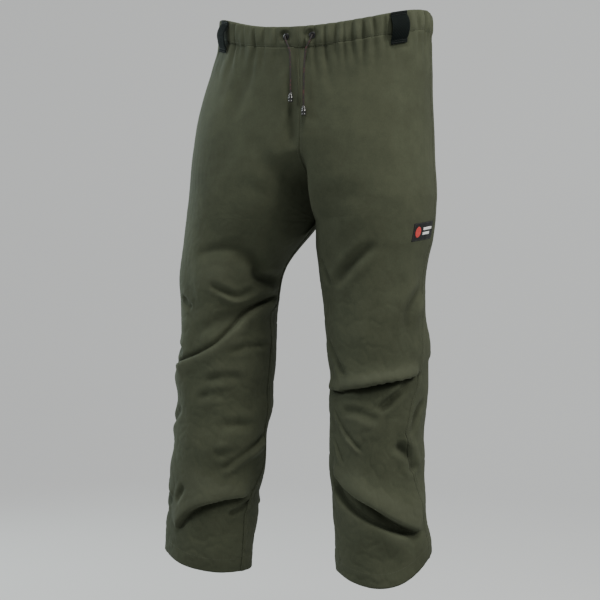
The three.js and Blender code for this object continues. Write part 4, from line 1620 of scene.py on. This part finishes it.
@dataclass
class InnerLayers:
    """Cut layers and lining behind the front panels, parallel to the creased cloth."""

    skins: dict[Side, Skin]
    cloth: float = 1.2
    gap: float = 0.3
    pad: float = 1.6
    pads: int = 4
    lining: float = 0.6
    stride: int = 4
    pad_span: tuple = (200, 974)
    pad_margin: float = 0.06
    lining_span: tuple = (39, 999)
    lining_margin: float = 0.004

    def hollowed(self, skin: Skin) -> Array:
        """Height of the inner layers' face: the lowest cloth nearby, then evened out.

        Args:
            skin: creased face of the half.

        Returns:
            The heights, millimetres.
        """
        height = ((skin.points - skin.base) * skin.level).sum(-1)
        padded = np.pad(height, 4, mode="edge")
        low = height.copy()
        for down in range(-4, 5, 2):
            for across in range(-4, 5, 2):
                low = np.minimum(low, padded[4 + down : 4 + down + height.shape[0],
                                             4 + across : 4 + across + height.shape[1]])
        return low

    def build(self, finishes: Finishes) -> None:
        """Makes eight cut layers and two linings.

        Args:
            finishes: the materials.
        """
        for side, skin in self.skins.items():
            low = self.hollowed(skin)
            for n in range(self.pads):
                inset = self.cloth + self.gap + n * (self.pad + self.gap)
                piece, grid = self.sheet(skin, low, f"cut_fibre_layer_{n + 1}_{side.word}", inset, self.pad,
                                         self.pad_span, self.pad_margin)
                dress(piece, finishes.pad, "cut_layer", f"cut_layer_{n + 1}_{side.word}")
            inset = self.cloth + self.gap + self.pads * (self.pad + self.gap)
            piece, grid = self.sheet(skin, low, f"front_lining_{side.word}", inset, self.lining,
                                     self.lining_span, self.lining_margin)
            dress(piece, finishes.lining, "lining", f"lining_{side.word}")

    def sheet(self, skin: Skin, low: Array, name: str, inset: float, thickness: float,
              reach: tuple[float, float], margin: float) -> tuple[Piece, Array]:
        """Makes one layer between two drops, its edges inside the seams.

        Args:
            skin: creased face of the half.
            low: height of the layers' face above the smooth cloth.
            name: the piece's name.
            inset: depth under that face.
            thickness: of the layer.
            reach: first and last drop.
            margin: distance inside the seams, as a share of the turn.

        Returns:
            The layer and the grid of its outer face.
        """
        rows = np.flatnonzero((skin.drop[:, 0] >= reach[0]) & (skin.drop[:, 0] <= reach[1]))[:: self.stride]
        middle = skin.points.shape[1] // 2
        edge = round(margin * 2 * middle)
        columns = np.unique(np.append(np.arange(edge, middle - edge + 1, self.stride), middle - edge))
        at = np.ix_(rows, columns)
        outer = skin.base[at] + skin.level[at] * (low[at] - inset)[..., None]
        inner = outer - skin.level[at] * thickness
        return slab(name, outer, inner, skin.cut[at], skin.side is Side.RIGHT), outer


def strip_faces(count: int, template: Array, size: int) -> Array:
    """Faces of a small shape repeated count times, its points numbered one copy after another."""
    return (template[None] + (np.arange(count) * size)[:, None, None]).reshape(-1, template.shape[1])


@dataclass
class Stitching:
    """Rows of thread: each stitch is a short plump bead along its row, a few dozen faces."""

    pitch: float = 3.6
    length: float = 2.7
    radius: float = 0.34
    shell: Shell = field(default_factory=Shell)

    def row(self, path: Array, normals: Array) -> None:
        """Adds a row of stitches along a path, at even spaces, half sunk into the cloth.

        Args:
            path: points of the row, millimetres.
            normals: outward unit normals at those points.
        """
        run = run_along(path)
        count = int(run[-1] / self.pitch)
        if count < 1:
            return
        at = (np.arange(count) + 0.5) * self.pitch
        middle = read_along(at, run, path)
        ahead = unit(read_along(at + 1, run, path) - read_along(at - 1, run, path))
        up = unit(read_along(at, run, normals))
        across = np.cross(up, ahead)
        along = np.array([-0.5, -0.3, 0.3, 0.5]) * self.length
        plump = np.array([0.25, 1.0, 1.0, 0.25]) * self.radius
        lift = np.array([-0.25, 0.12, 0.12, -0.25])
        turn = TAU * np.arange(6) / 6
        points = (middle[:, None, None] + along[None, :, None, None] * ahead[:, None, None]
                  + (plump[:, None] * np.cos(turn))[None, ..., None] * across[:, None, None]
                  + (plump[:, None] * np.sin(turn) + lift[:, None])[None, ..., None] * up[:, None, None])
        template = grid_faces(4, 6, closed_columns=True)
        ends = np.array([[0, 1, 2, 3], [0, 3, 4, 5], [18, 21, 20, 19], [18, 23, 22, 21]])
        faces = strip_faces(count, np.vstack([template, ends[:, ::-1]]), 24)
        self.shell.add(points.reshape(-1, 3), faces)

    def build(self, name: str, finish: Material, slot: str = "cloth",
              body: str = "trousers") -> Piece:
        """Makes all the rows one piece."""
        return dress(self.shell.build(name), finish, slot, body=body)


@dataclass
class SeamStitching:
    """Topstitching of the centre seams, side seams, inseams and hems."""

    skins: dict[Side, Skin]
    form: TrouserForm

    def build(self, finish: Material) -> None:
        """Makes one piece of thread for each half.

        Args:
            finish: the material.
        """
        for side, skin in self.skins.items():
            thread = Stitching()
            rows = np.arange(skin.points.shape[0], dtype=float)
            last = skin.points.shape[1] - 1
            gaps = np.linalg.norm(np.diff(skin.base, axis=1), axis=2)
            body = skin.drop[:, 0] < self.form.rise - 6
            near_out = gaps[:, last // 2]
            for offset in (1.6, 7.4):
                self.line(thread, skin, rows, last / 2 + offset / near_out)
                legs = ~body
                self.line(thread, skin, rows[legs], last - offset / gaps[legs, -1])
            upper = body & (skin.drop[:, 0] > self.form.band + 3)
            self.line(thread, skin, rows[upper], 4.2 / gaps[upper, 0])
            self.line(thread, skin, rows[upper], last - 4.2 / gaps[upper, -1])
            level = skin.drop[-1, 0] - 25.0
            row = float(np.interp(level, skin.drop[:, 0], rows))
            columns = np.linspace(0, last - 0.01, 260)
            self.line(thread, skin, np.full_like(columns, row), columns)
            thread.build(f"topstitching_{side.word}", finish)

    @staticmethod
    def line(thread: Stitching, skin: Skin, rows: Array, columns: Array) -> None:
        """Adds a row of stitches through fractional grid places."""
        points, normals, _ = skin.sample(rows, columns)
        thread.row(points, normals)


@dataclass
class Waistband:
    """Gathered casing over the elastic: outer wall, rounded top and inner wall, in two halves."""

    form: TrouserForm
    gathers: Gathers
    columns: int = 260
    thickness: float = 9.7
    wall: float = 0.9
    proud: float = 0.9
    eyelet: tuple = (24.3, 19.0)

    def profile(self) -> tuple[Array, Array, Array]:
        """Section from the outer lower edge over the top to the inner lower edge.

        Returns:
            Insets, drops and the share of the puckers that each place takes.
        """
        outer = np.linspace(39.6, 4.0, 20)
        bend = np.linspace(0, math.pi, 11)[1:-1]
        half = self.thickness / 2
        inner = np.linspace(4.0, 38.0, 12)
        inset = np.concatenate([np.full(20, -self.proud), half - (half + self.proud) * np.cos(bend),
                                np.full(12, self.thickness)])
        drop = np.concatenate([outer, 4.0 - 3.4 * np.sin(bend), inner])
        share = np.concatenate([np.ones(20), np.linspace(1, 0.5, 9), np.full(12, -0.3)])
        share[20:29] = np.cos(np.linspace(0, math.pi * 0.55, 9))
        return inset, drop, share

    def build(self, finish: Material, thread: Material) -> None:
        """Makes both halves and the row of stitches that joins the band to the body.

        Args:
            finish: the material.
            thread: material of the stitches.
        """
        stitches = Stitching(pitch=3.4)
        for side in Side:
            self.half(side, finish, stitches)
        stitches.build("band_stitching", thread, "band")

    def swell(self, side: Side, angle: Array, base: Array, drop: Array) -> Array:
        """Puckers of the casing: those of the body seam, fuller half way up, pinched at the seam.

        Args:
            side: half of the garment.
            angle: radians from the inseam by the front.
            base: smooth points, millimetres.
            drop: millimetres below the waist.

        Returns:
            The heights, millimetres.
        """
        up = np.clip((38 - drop) / 38, 0, 1)
        pucker = self.gathers.height(side, angle, base, np.zeros_like(drop))
        puff = np.sin(math.pi * np.clip(up, 0.02, 1) ** 0.8) ** 0.6
        sway = Ripple(21, 15, (1, 1, 4))(base) * 0.45
        made = pucker * (0.85 + 0.45 * puff) + (2.4 + sway) * puff - 1.5
        round_ = side.value * (np.degrees(angle) - 90)
        pressed = np.ones_like(made)
        for under in self.gathers.under_loops(round_):
            pressed *= 1 - 0.75 * under
        made *= pressed
        off = np.hypot(base[..., 0] - side.value * self.eyelet[0], drop - self.eyelet[1])
        flat = np.where(base[..., 1] < 0, 1 - ease((off - 7.5) / 6), 0)
        return made * (1 - flat) - (0.8 + self.proud) * flat

    def half(self, side: Side, finish: Material, stitches: Stitching) -> None:
        """Makes one half of the band.

        Args:
            side: half of the garment.
            finish: the material.
            stitches: the row of thread to add to.
        """
        inset, drop, share = self.profile()
        turn = np.linspace(0, 1, self.columns)
        angle = np.broadcast_to((math.pi / 2 + math.pi * turn)[None], (len(inset), len(turn)))
        drops = np.broadcast_to(drop[:, None], angle.shape)
        base = self.form.point(side, angle, drops)
        level = self.form.normal(side, angle, np.zeros_like(drops))
        height = self.swell(side, angle, base, drops) * share[:, None]
        outer = base + level * (height - inset[:, None])[..., None]
        ahead = np.gradient(np.stack([inset, drop], -1), axis=0)
        ahead = ahead / np.linalg.norm(ahead, axis=1, keepdims=True)
        into = np.stack([-ahead[:, 1], ahead[:, 0]], -1) * self.wall
        inner = outer - level * into[:, :1][:, None]
        inner[..., 2] -= into[:, 1][:, None]
        across = side.value * self.form.waist_width * (math.pi * turn) * MM
        along = -np.cumsum(np.abs(np.gradient(drop)))[:, None] * MM
        cut = np.stack(np.broadcast_arrays(across[None], along), -1)
        # the relief, raised by 1.4, lightens pucker crests and puts painted shade in pucker valleys through
        # the cloth finish
        band = slab(f"gathered_band_{side.word}", outer, inner, cut, side is Side.LEFT, height * 1.4)
        dress(band, finish, "band", f"waistband_{side.word}")
        stitches.row(outer[2, 2:-2], level[1, 2:-2])


@dataclass
class BeltLoops:
    """Three loops of ribbed webbing, sewn flat at both ends and arched between."""

    form: TrouserForm
    width: float = 33.0
    length: float = 57.0
    top: float = 1.2
    tab: float = 8.0
    rise: float = 8.6
    thickness: float = 2.0
    under: float = 2.4

    def build(self, finish: Material, thread: Material) -> None:
        """Makes the loops and their stitching."""
        for word, at in zip(("left", "right", "back"), Gathers.LOOPS):
            self.loop(f"loop_strap_{word}", f"belt_loop_{word}", at, finish, thread)

    def surface(self, at: float, across: Array, down: Array,
                out: Array) -> tuple[Array, Array]:
        """Points and normals at distances across and down a loop, standing out from the band.

        The loop is carried round the waist's ellipse by arc length, and follows the body below it.

        Args:
            at: degrees round from the centre front.
            across: millimetres across the loop.
            down: millimetres down the loop.
            out: millimetres out from the cloth.

        Returns:
            Points and normals.
        """
        radians = math.radians(at)
        reach = math.hypot(self.form.waist_width * math.cos(radians),
                           self.form.front_depths[0] * math.sin(radians))
        round_ = radians + across / reach
        angle = math.pi / 2 + np.abs((round_ + math.pi) % TAU - math.pi)
        left = self.form.point(Side.LEFT, angle, down)
        right = self.form.point(Side.RIGHT, angle, down)
        pick = (np.sin(round_) >= 0)[..., None]
        base = np.where(pick, left, right)
        level = np.where(pick, self.form.normal(Side.LEFT, angle, np.zeros_like(down)),
                         self.form.normal(Side.RIGHT, angle, np.zeros_like(down)))
        return base + level * out[..., None], level

    def loop(self, name: str, node: str, at: float, finish: Material,
             thread: Material) -> None:
        """Makes one loop: an arch that rises as a sine, ribs across it, thin rounded selvedges.

        Args:
            name: the piece's name.
            node: the CAD node that it stands for.
            at: degrees round from the centre front.
            finish: the material.
            thread: material of the stitches.
        """
        rows, columns = 49, 39
        down = np.linspace(0, self.length, rows)[:, None]
        across = np.linspace(-self.width / 2, self.width / 2, columns)[None]
        free = np.clip((down - self.tab) / (self.length - 2 * self.tab), 0, 1)
        arch = self.rise * np.sin(math.pi * free) ** 0.75
        corner = ease((np.abs(across) - self.width / 2 + 3) / 3)
        end = ease((np.abs(down - self.length / 2) - self.length / 2 + 2) / 2)
        edge = np.maximum(corner, end)
        rib = 0.12 * np.cos(across * TAU / 2.0) * (1 - edge)
        trim = 1 - 0.045 * np.clip((np.abs(down - self.length / 2) - self.length / 2 + 3) / 3, 0, 1) ** 2
        wide = across * trim
        stand = np.broadcast_to(self.under + arch, (rows, columns))
        drops = np.broadcast_to(self.top + down, stand.shape)
        outer, level = self.surface(at, wide, drops, stand + self.thickness * (1 - 0.3 * edge) + rib)
        inner, _ = self.surface(at, wide, drops, stand + 0.25 * edge)
        cut = np.stack(np.broadcast_arrays(across, -down), -1) * MM
        # the 5 mm edge relief lightens the selvedges through the crest mask: rubbing and painted highlight
        dress(slab(name, outer, inner, cut, relief=edge * 5), finish, "webbing", node)
        stitches = Stitching(pitch=2.6, length=2.2, radius=0.32)
        for row in (2, 5, rows - 6, rows - 3):
            stitches.row(outer[row, 2:-2], level[row, 2:-2])
        stitches.build(f"{name}_stitching", thread, "webbing")


@dataclass
class Drawcord:
    """Braided tails with their moulded ends, and the eyelets that they come out of."""

    radius: float = 1.6
    routes: tuple = (
        ((0.02452, -0.14926, -0.05805), (0.02332, -0.15154, -0.06405), (0.02002, -0.15309, -0.07205),
         (0.01552, -0.15489, -0.08305), (0.01372, -0.15634, -0.10005), (0.01292, -0.15773, -0.12405),
         (0.01252, -0.15854, -0.15405), (0.01232, -0.15794, -0.18305)),
        ((-0.02452, -0.14926, -0.05805), (-0.02332, -0.15151, -0.06405), (-0.02002, -0.15304, -0.07205),
         (-0.01502, -0.15483, -0.08305), (-0.01312, -0.15614, -0.09805), (-0.01232, -0.15741, -0.11805),
         (-0.01192, -0.15801, -0.13805), (-0.01172, -0.15862, -0.15905)),
    )
    face: tuple = (24.3, -146.22, -58.05)
    outward: tuple = (0.0733, -0.9973, 0.0)

    def build(self, finishes: Finishes) -> None:
        """Makes both tails, both cord ends and both eyelets.

        Args:
            finishes: the materials.
        """
        for side in Side:
            end = self.cord_end(side, finishes)
            self.tail(side, finishes)
            self.eyelet(side, finishes)
        coat(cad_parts["drawcord_run"], finishes.cord_hidden)

    def seat(self, side: Side, out: Array | float) -> Array:
        """Point on the eyelet's axis, a distance out from the cloth, millimetres."""
        flip = np.array([side.value, 1, 1])
        return np.array(self.face) * flip + np.array(self.outward) * flip * out

    def tail(self, side: Side, finishes: Finishes) -> None:
        """Makes one tail: out of the eyelet, over its lip, then down in front of the cloth.

        Args:
            side: half of the garment.
            finishes: the materials.
        """
        route = np.array(side.pick(self.routes)) / MM
        mouth = route[-1]
        start = np.array([self.seat(side, -2.2), self.seat(side, 0.4), self.seat(side, 2.2)])
        first = route[0] + [0, -0.4, -2.2]
        down = mouth + [0, 0, -8.0]
        path = smooth_line(np.vstack([start, first, route[1:], down]), 14)
        run = run_along(path)
        length = run[-1]
        even = np.linspace(0, length, int(length / 0.55))
        path = read_along(even, run, path)
        sides = 20
        pitch = 3.8

        def braid(step: Array, angle: Array) -> Array:
            """Radius: the cord's, plus the product of two sines that wind opposite ways."""
            along = even[step] * TAU / pitch
            return self.radius * (0.94 + 0.07 * np.sin(2 * angle + along) * np.sin(2 * angle - along))

        points, quads = tube(path, braid, sides)
        shell = Shell()
        around = np.tile(np.abs(np.arange(sides) / sides * 2 - 1), len(path))
        cut = np.stack([around, np.repeat(even, sides) * MM], -1)
        cut = np.vstack([cut, [[0, 0], [0, length * MM]]])
        shell.add(points, quads, cut)
        shell.faces.append(tube_caps(len(path), sides))
        cord = shell.build(f"cord_tail_{side.word}")
        cord.data.materials.append(finishes.cord)
        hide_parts(f"drawcord_tail_{side.word}")
        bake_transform(cord)
        log.info("cord_tail_%s: %.1f mm", side.word, length)

    def cord_end(self, side: Side, finishes: Finishes) -> Piece:
        """Makes the moulded bell and its plug, a turned profile with a waist and two fine ribs.

        Args:
            side: half of the garment.
            finishes: the materials.

        Returns:
            The object.
        """
        mouth = np.array(side.pick(self.routes)[-1]) / MM
        profile = np.array([(1.75, -1.2), (1.85, 0.05), (2.5, 0.1), (2.75, -0.35), (2.95, -1.2), (3.3, -2.2),
                            (3.75, -3.2), (4.15, -4.3), (4.38, -5.4), (4.4, -6.2), (4.2, -6.5), (4.2, -7.0),
                            (4.4, -7.3), (4.4, -13.2), (4.22, -13.5), (4.22, -14.0), (4.4, -14.3),
                            (4.4, -15.4), (4.15, -16.2), (3.7, -16.5), (3.1, -16.5), (2.95, -16.2),
                            (2.6, -16.15), (0.02, -16.15)])
        sides = 40
        turn = TAU * np.arange(sides) / sides
        r, z = profile[:, 0], profile[:, 1]
        points = np.stack([mouth[0] + r[:, None] * np.cos(turn), mouth[1] + r[:, None] * np.sin(turn),
                           np.broadcast_to((mouth[2] + z)[:, None], (len(r), sides))], -1)
        shell = Shell()
        shell.add(points.reshape(-1, 3), grid_faces(len(r), sides, closed_columns=True))
        caps = np.stack([np.zeros(sides - 2), np.arange(1, sides - 1), np.arange(2, sides)], -1).astype(int)
        shell.faces.append(caps)
        shell.faces.append(caps[:, ::-1] + (len(r) - 1) * sides)
        return dress(shell.build(f"cord_bell_{side.word}"), finishes.moulding, "cord_end",
                     f"cord_end_{side.word}", f"cord_end_plug_{side.word}", body=f"drawcord_{side.word}")

    def eyelet(self, side: Side, finishes: Finishes) -> None:
        """Makes one rolled eyelet: a flange that turns over into a barrel, swept round its axis.

        Args:
            side: half of the garment.
            finishes: the materials.
        """
        profile = np.array([(2.05, -2.0), (2.0, 0.2), (2.05, 0.75), (2.35, 1.15), (2.9, 1.3), (3.6, 1.2),
                            (4.5, 0.95), (5.4, 0.7), (5.9, 0.5), (6.0, 0.25), (5.9, 0.0), (5.0, -0.1),
                            (3.2, -0.1), (2.7, -0.4), (2.65, -2.0)])
        sides = 48
        turn = TAU * np.arange(sides) / sides
        flip = np.array([side.value, 1, 1])
        out = np.array(self.outward) * flip
        up = np.array([0.0, 0.0, 1.0])
        across = np.cross(up, out)
        spoke = np.cos(turn)[:, None] * across + np.sin(turn)[:, None] * up
        radius, stand = profile[:, 0][:, None, None], profile[:, 1][:, None, None]
        ring = self.seat(side, 0.0) + stand * out + radius * spoke
        shell = Shell()
        shell.add(ring.reshape(-1, 3), grid_faces(len(profile), sides, closed_rows=True, closed_columns=True,
                                                  flip=True), None, np.full(len(profile) * sides, 2.0))
        dress(shell.build(f"rolled_eyelet_{side.word}"), finishes.enamel, "eyelet", f"eyelet_{side.word}")


@dataclass
class ThighLabel:
    """Woven label near the outseam of the left thigh, with a plain disc and bars worked in it."""

    skin: Skin
    width: float = 60.0
    height: float = 32.0
    drop: float = 399.0
    tilt: float = 9.0
    seam_gap: float = 5.0
    border: float = 1.6

    def surface(self, u: Array, v: Array,
                out: Array | float) -> tuple[Array, Array]:
        """Points and normals at shares across (front to outseam) and down the label, out from the cloth.

        Args:
            u: shares across, front to outseam.
            v: shares down.
            out: millimetres out from the cloth.

        Returns:
            Points and normals.
        """
        last = self.skin.points.shape[1] - 1
        drops = self.drop + self.height * (v - 0.5) + self.tilt * (0.5 - u)
        rows = np.interp(drops, self.skin.drop[:, 0], np.arange(len(self.skin.drop)))
        row = int(np.interp(self.drop, self.skin.drop[:, 0], np.arange(len(self.skin.drop))))
        per_column = np.linalg.norm(np.diff(self.skin.base[row], axis=0), axis=1)[: last // 2].mean()
        columns = last / 2 - (self.seam_gap + self.width * (1 - u)) / per_column
        points, normals, _ = self.skin.sample(rows, columns)
        return points + normals * np.asarray(out)[..., None], normals

    def build(self, finishes: Finishes) -> None:
        """Makes the label, its worked motif and its stitched border.

        Args:
            finishes: the materials.
        """
        u, v = np.meshgrid(np.linspace(0, 1, 61), np.linspace(0, 1, 33))
        base = self.patch(u, v, 0.25, 0.95, "label_ground", 1.2)
        dress(base, finishes.label, "thigh_label", "thigh_label")
        disc_u = 0.2 + 0.115 * np.linspace(0, 1, 12)[:, None] * np.cos(np.linspace(0, TAU, 41))[None]
        disc_v = 0.5 + 0.3 * np.linspace(0, 1, 12)[:, None] * np.sin(np.linspace(0, TAU, 41))[None]
        piece = self.patch(disc_u, disc_v, 0.95, 1.25, "label_disc", 0.0)
        dress(piece, finishes.red, "thigh_label")
        for n, (left, right, middle) in enumerate(((0.42, 0.9, 0.36), (0.42, 0.78, 0.62))):
            bu, bv = np.meshgrid(np.linspace(left, right, 24), np.linspace(middle - 0.075, middle + 0.075, 6))
            dress(self.patch(bu, bv, 0.95, 1.2, f"label_bar_{n + 1}", 0.0), finishes.pale, "thigh_label")
        stitches = Stitching(pitch=2.2, length=1.8, radius=0.28)
        line = np.linspace(0, 1, 60)
        low_u, low_v = self.border / self.width, self.border / self.height
        high_u, high_v = 1 - low_u, 1 - low_v
        for start, end in (((low_u, low_v), (high_u, low_v)), ((low_u, high_v), (high_u, high_v)),
                           ((low_u, low_v), (low_u, high_v)), ((high_u, low_v), (high_u, high_v))):
            across, down = (a + (b - a) * line for a, b in zip(start, end))
            stitches.row(*self.surface(across, down, np.full_like(line, 0.95)))
        stitches.build("label_stitching", finishes.label_thread, "thigh_label")

    def patch(self, u: Array, v: Array, low: float, high: float, name: str,
              soften: float) -> Piece:
        """Makes a thin slab on the label, its edge thinned over a distance.

        Args:
            u: shares across, front to outseam.
            v: shares down.
            low: height of the inner face, millimetres.
            high: height of the outer face, millimetres.
            name: the piece's name.
            soften: width of the thinned edge, or 0 for none.

        Returns:
            The object.
        """
        if soften:
            edge = np.minimum(np.minimum(u, 1 - u) * self.width, np.minimum(v, 1 - v) * self.height)
            top = low + (high - low) * (0.35 + 0.65 * ease(edge / soften))
        else:
            top = np.full_like(u, high)
        outer, _ = self.surface(u, v, top)
        inner, _ = self.surface(u, v, np.full_like(u, low - 0.2))
        return slab(name, outer, inner, np.stack([u * self.width, -v * self.height], -1) * MM)


@dataclass
class CareLabel:
    """Blank satin tag that hangs from the inside of the band at the centre back, slightly curled."""

    width: float = 34
    length: float = 55
    columns: int = 18
    rows: int = 30

    def build(self, finish: Material) -> None:
        """Makes the tag in the space of its CAD node.

        Args:
            finish: the material.
        """
        low, high = (np.array(corner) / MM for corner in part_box("care_label"))
        u, v = np.meshgrid(np.linspace(0, 1, self.columns), np.linspace(0, 1, self.rows))
        curl = -2.6 * v**2 + 0.9 * np.sin(u * math.pi) * v
        outer = np.stack([low[0] + (high[0] - low[0]) * u, low[1] + curl,
                          high[2] - (high[2] - low[2]) * v], -1)
        inner = outer + [0, high[1] - low[1], 0]
        cut = np.stack([u * self.width, -v * self.length], -1) * MM
        tag = dress(slab("care_tag", outer, inner, cut), finish, "care_label", "care_label")


# ---- Studio -----------------------------------------------------------------------------------------


@dataclass(frozen=True)
class Studio:
    """Camera, lights and the pale floor that sweeps up behind."""

    azimuth: float = 19.0
    distance: float = 2.7
    shift_across: float = -0.046
    height: float = -0.522
    lens: float = 87.54

    def place(self) -> None:
        """Makes the stage, the lights and the camera."""
        self.backdrop()
        self.lights()
        turn = math.radians(self.azimuth)
        right = Vector((math.cos(turn), math.sin(turn), 0))
        ahead = Vector((-math.sin(turn), math.cos(turn), 0))
        data = bpy.data.cameras.new("camera")
        data.sensor_width = 36.0
        data.lens = self.lens
        data.clip_end = 50
        camera = bpy.data.objects.new("camera", data)
        camera.location = -ahead * self.distance + right * self.shift_across + Vector((0, 0, self.height))
        camera.rotation_euler = (math.pi / 2, 0, turn)
        bpy.context.scene.collection.objects.link(camera)
        bpy.context.scene.camera = camera

    def backdrop(self) -> None:
        """Pale sheet: flat floor in front, a quarter-round behind and a wall above."""
        floor, radius, far, near, half = -1300.0, 1500.0, 3200.0, -9000.0, 9000.0
        bend = np.linspace(0, math.pi / 2, 24)
        profile = np.vstack([[near, floor], np.stack([far + radius * np.sin(bend),
                                                      floor + radius * (1 - np.cos(bend))], -1),
                             [far + radius, 7000.0]])
        across = np.linspace(-half, half, 12)
        points = np.stack([np.repeat(across[None], len(profile), 0),
                           np.repeat(profile[:, :1], len(across), 1),
                           np.repeat(profile[:, 1:], len(across), 1)], -1)
        shell = Shell()
        shell.add(points.reshape(-1, 3), grid_faces(len(profile), len(across), flip=True))
        sweep = shell.build("studio_sweep")
        material, b, shader = start_material("pale studio paper")
        place = b.node("ShaderNodeTexCoord").outputs["Object"]
        colour = b.mix(b.noise(place, 1.3, 2.0), rgba((0.25, 0.255, 0.252)), rgba((0.27, 0.275, 0.272)))
        b.feed(shader, Base_Color=colour, Emission_Color=(0.985, 1.0, 0.995, 1), Emission_Strength=0.45,
               Roughness=1.0, Specular_IOR_Level=0.0)
        sweep.data.materials.append(material)

    def lights(self) -> None:
        """Soft daylight all round, a large key above the right, a fill and a cool light from behind."""
        world = bpy.data.worlds.new("studio air")
        bpy.context.scene.world = world
        world.use_nodes = True
        air = world.node_tree.nodes["Background"]
        air.inputs["Color"].default_value = (0.93, 0.98, 1.0, 1)
        air.inputs["Strength"].default_value = 0.28
        aim = Vector((0, 0, -0.5))
        for name, place, size, power, colour in (
            ("top", (0.7, -1.5, 2.7), 0.9, 92, (1, 0.985, 0.95)),
            ("right", (2.2, -0.5, 1.1), 0.9, 62, (1, 0.98, 0.92)),
            ("left", (-2.1, -1.4, 1.0), 0.8, 40, (0.95, 1, 1)),
            ("rim", (-2.4, 1.0, 0.2), 1.2, 36, (0.82, 1, 0.98)),
        ):
            data = bpy.data.lights.new(name, "AREA")
            data.shape, data.size, data.energy, data.color = "SQUARE", size, power, colour
            light = bpy.data.objects.new(name, data)
            light.location = place
            light.rotation_euler = (aim - Vector(place)).to_track_quat("-Z", "Y").to_euler()
            bpy.context.scene.collection.objects.link(light)


def carried(finishes: Finishes) -> None:
    """Gives the CAD nodes that stay their finishes."""
    for node, finish in (("waist_elastic", finishes.elastic), ("eyelet_washer_left", finishes.enamel),
                         ("eyelet_washer_right", finishes.enamel)):
        coat(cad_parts[node], finish)


def main() -> None:
    """Builds the garment in order, then the studio."""
    logging.basicConfig(level=logging.INFO, format="%(message)s")
    form = TrouserForm()
    drape = Drape(form)
    skins = drape.skins()
    for side, skin in skins.items():
        skin.level = form.normal(side, skin.angle, skin.drop)
    finishes = Finishes()
    Studio().place()
    Drawcord().build(finishes)
    LegPanels(skins).build(finishes.cloth)
    SeamStitching(skins, form).build(finishes.thread)
    Waistband(form, drape.gathers).build(finishes.band, finishes.thread)
    BeltLoops(form).build(finishes.webbing, finishes.black_thread)
    ThighLabel(skins[Side.LEFT]).build(finishes)
    CareLabel().build(finishes.care)
    InnerLayers(skins).build(finishes)
    carried(finishes)


if __name__ == "__main__":
    main()
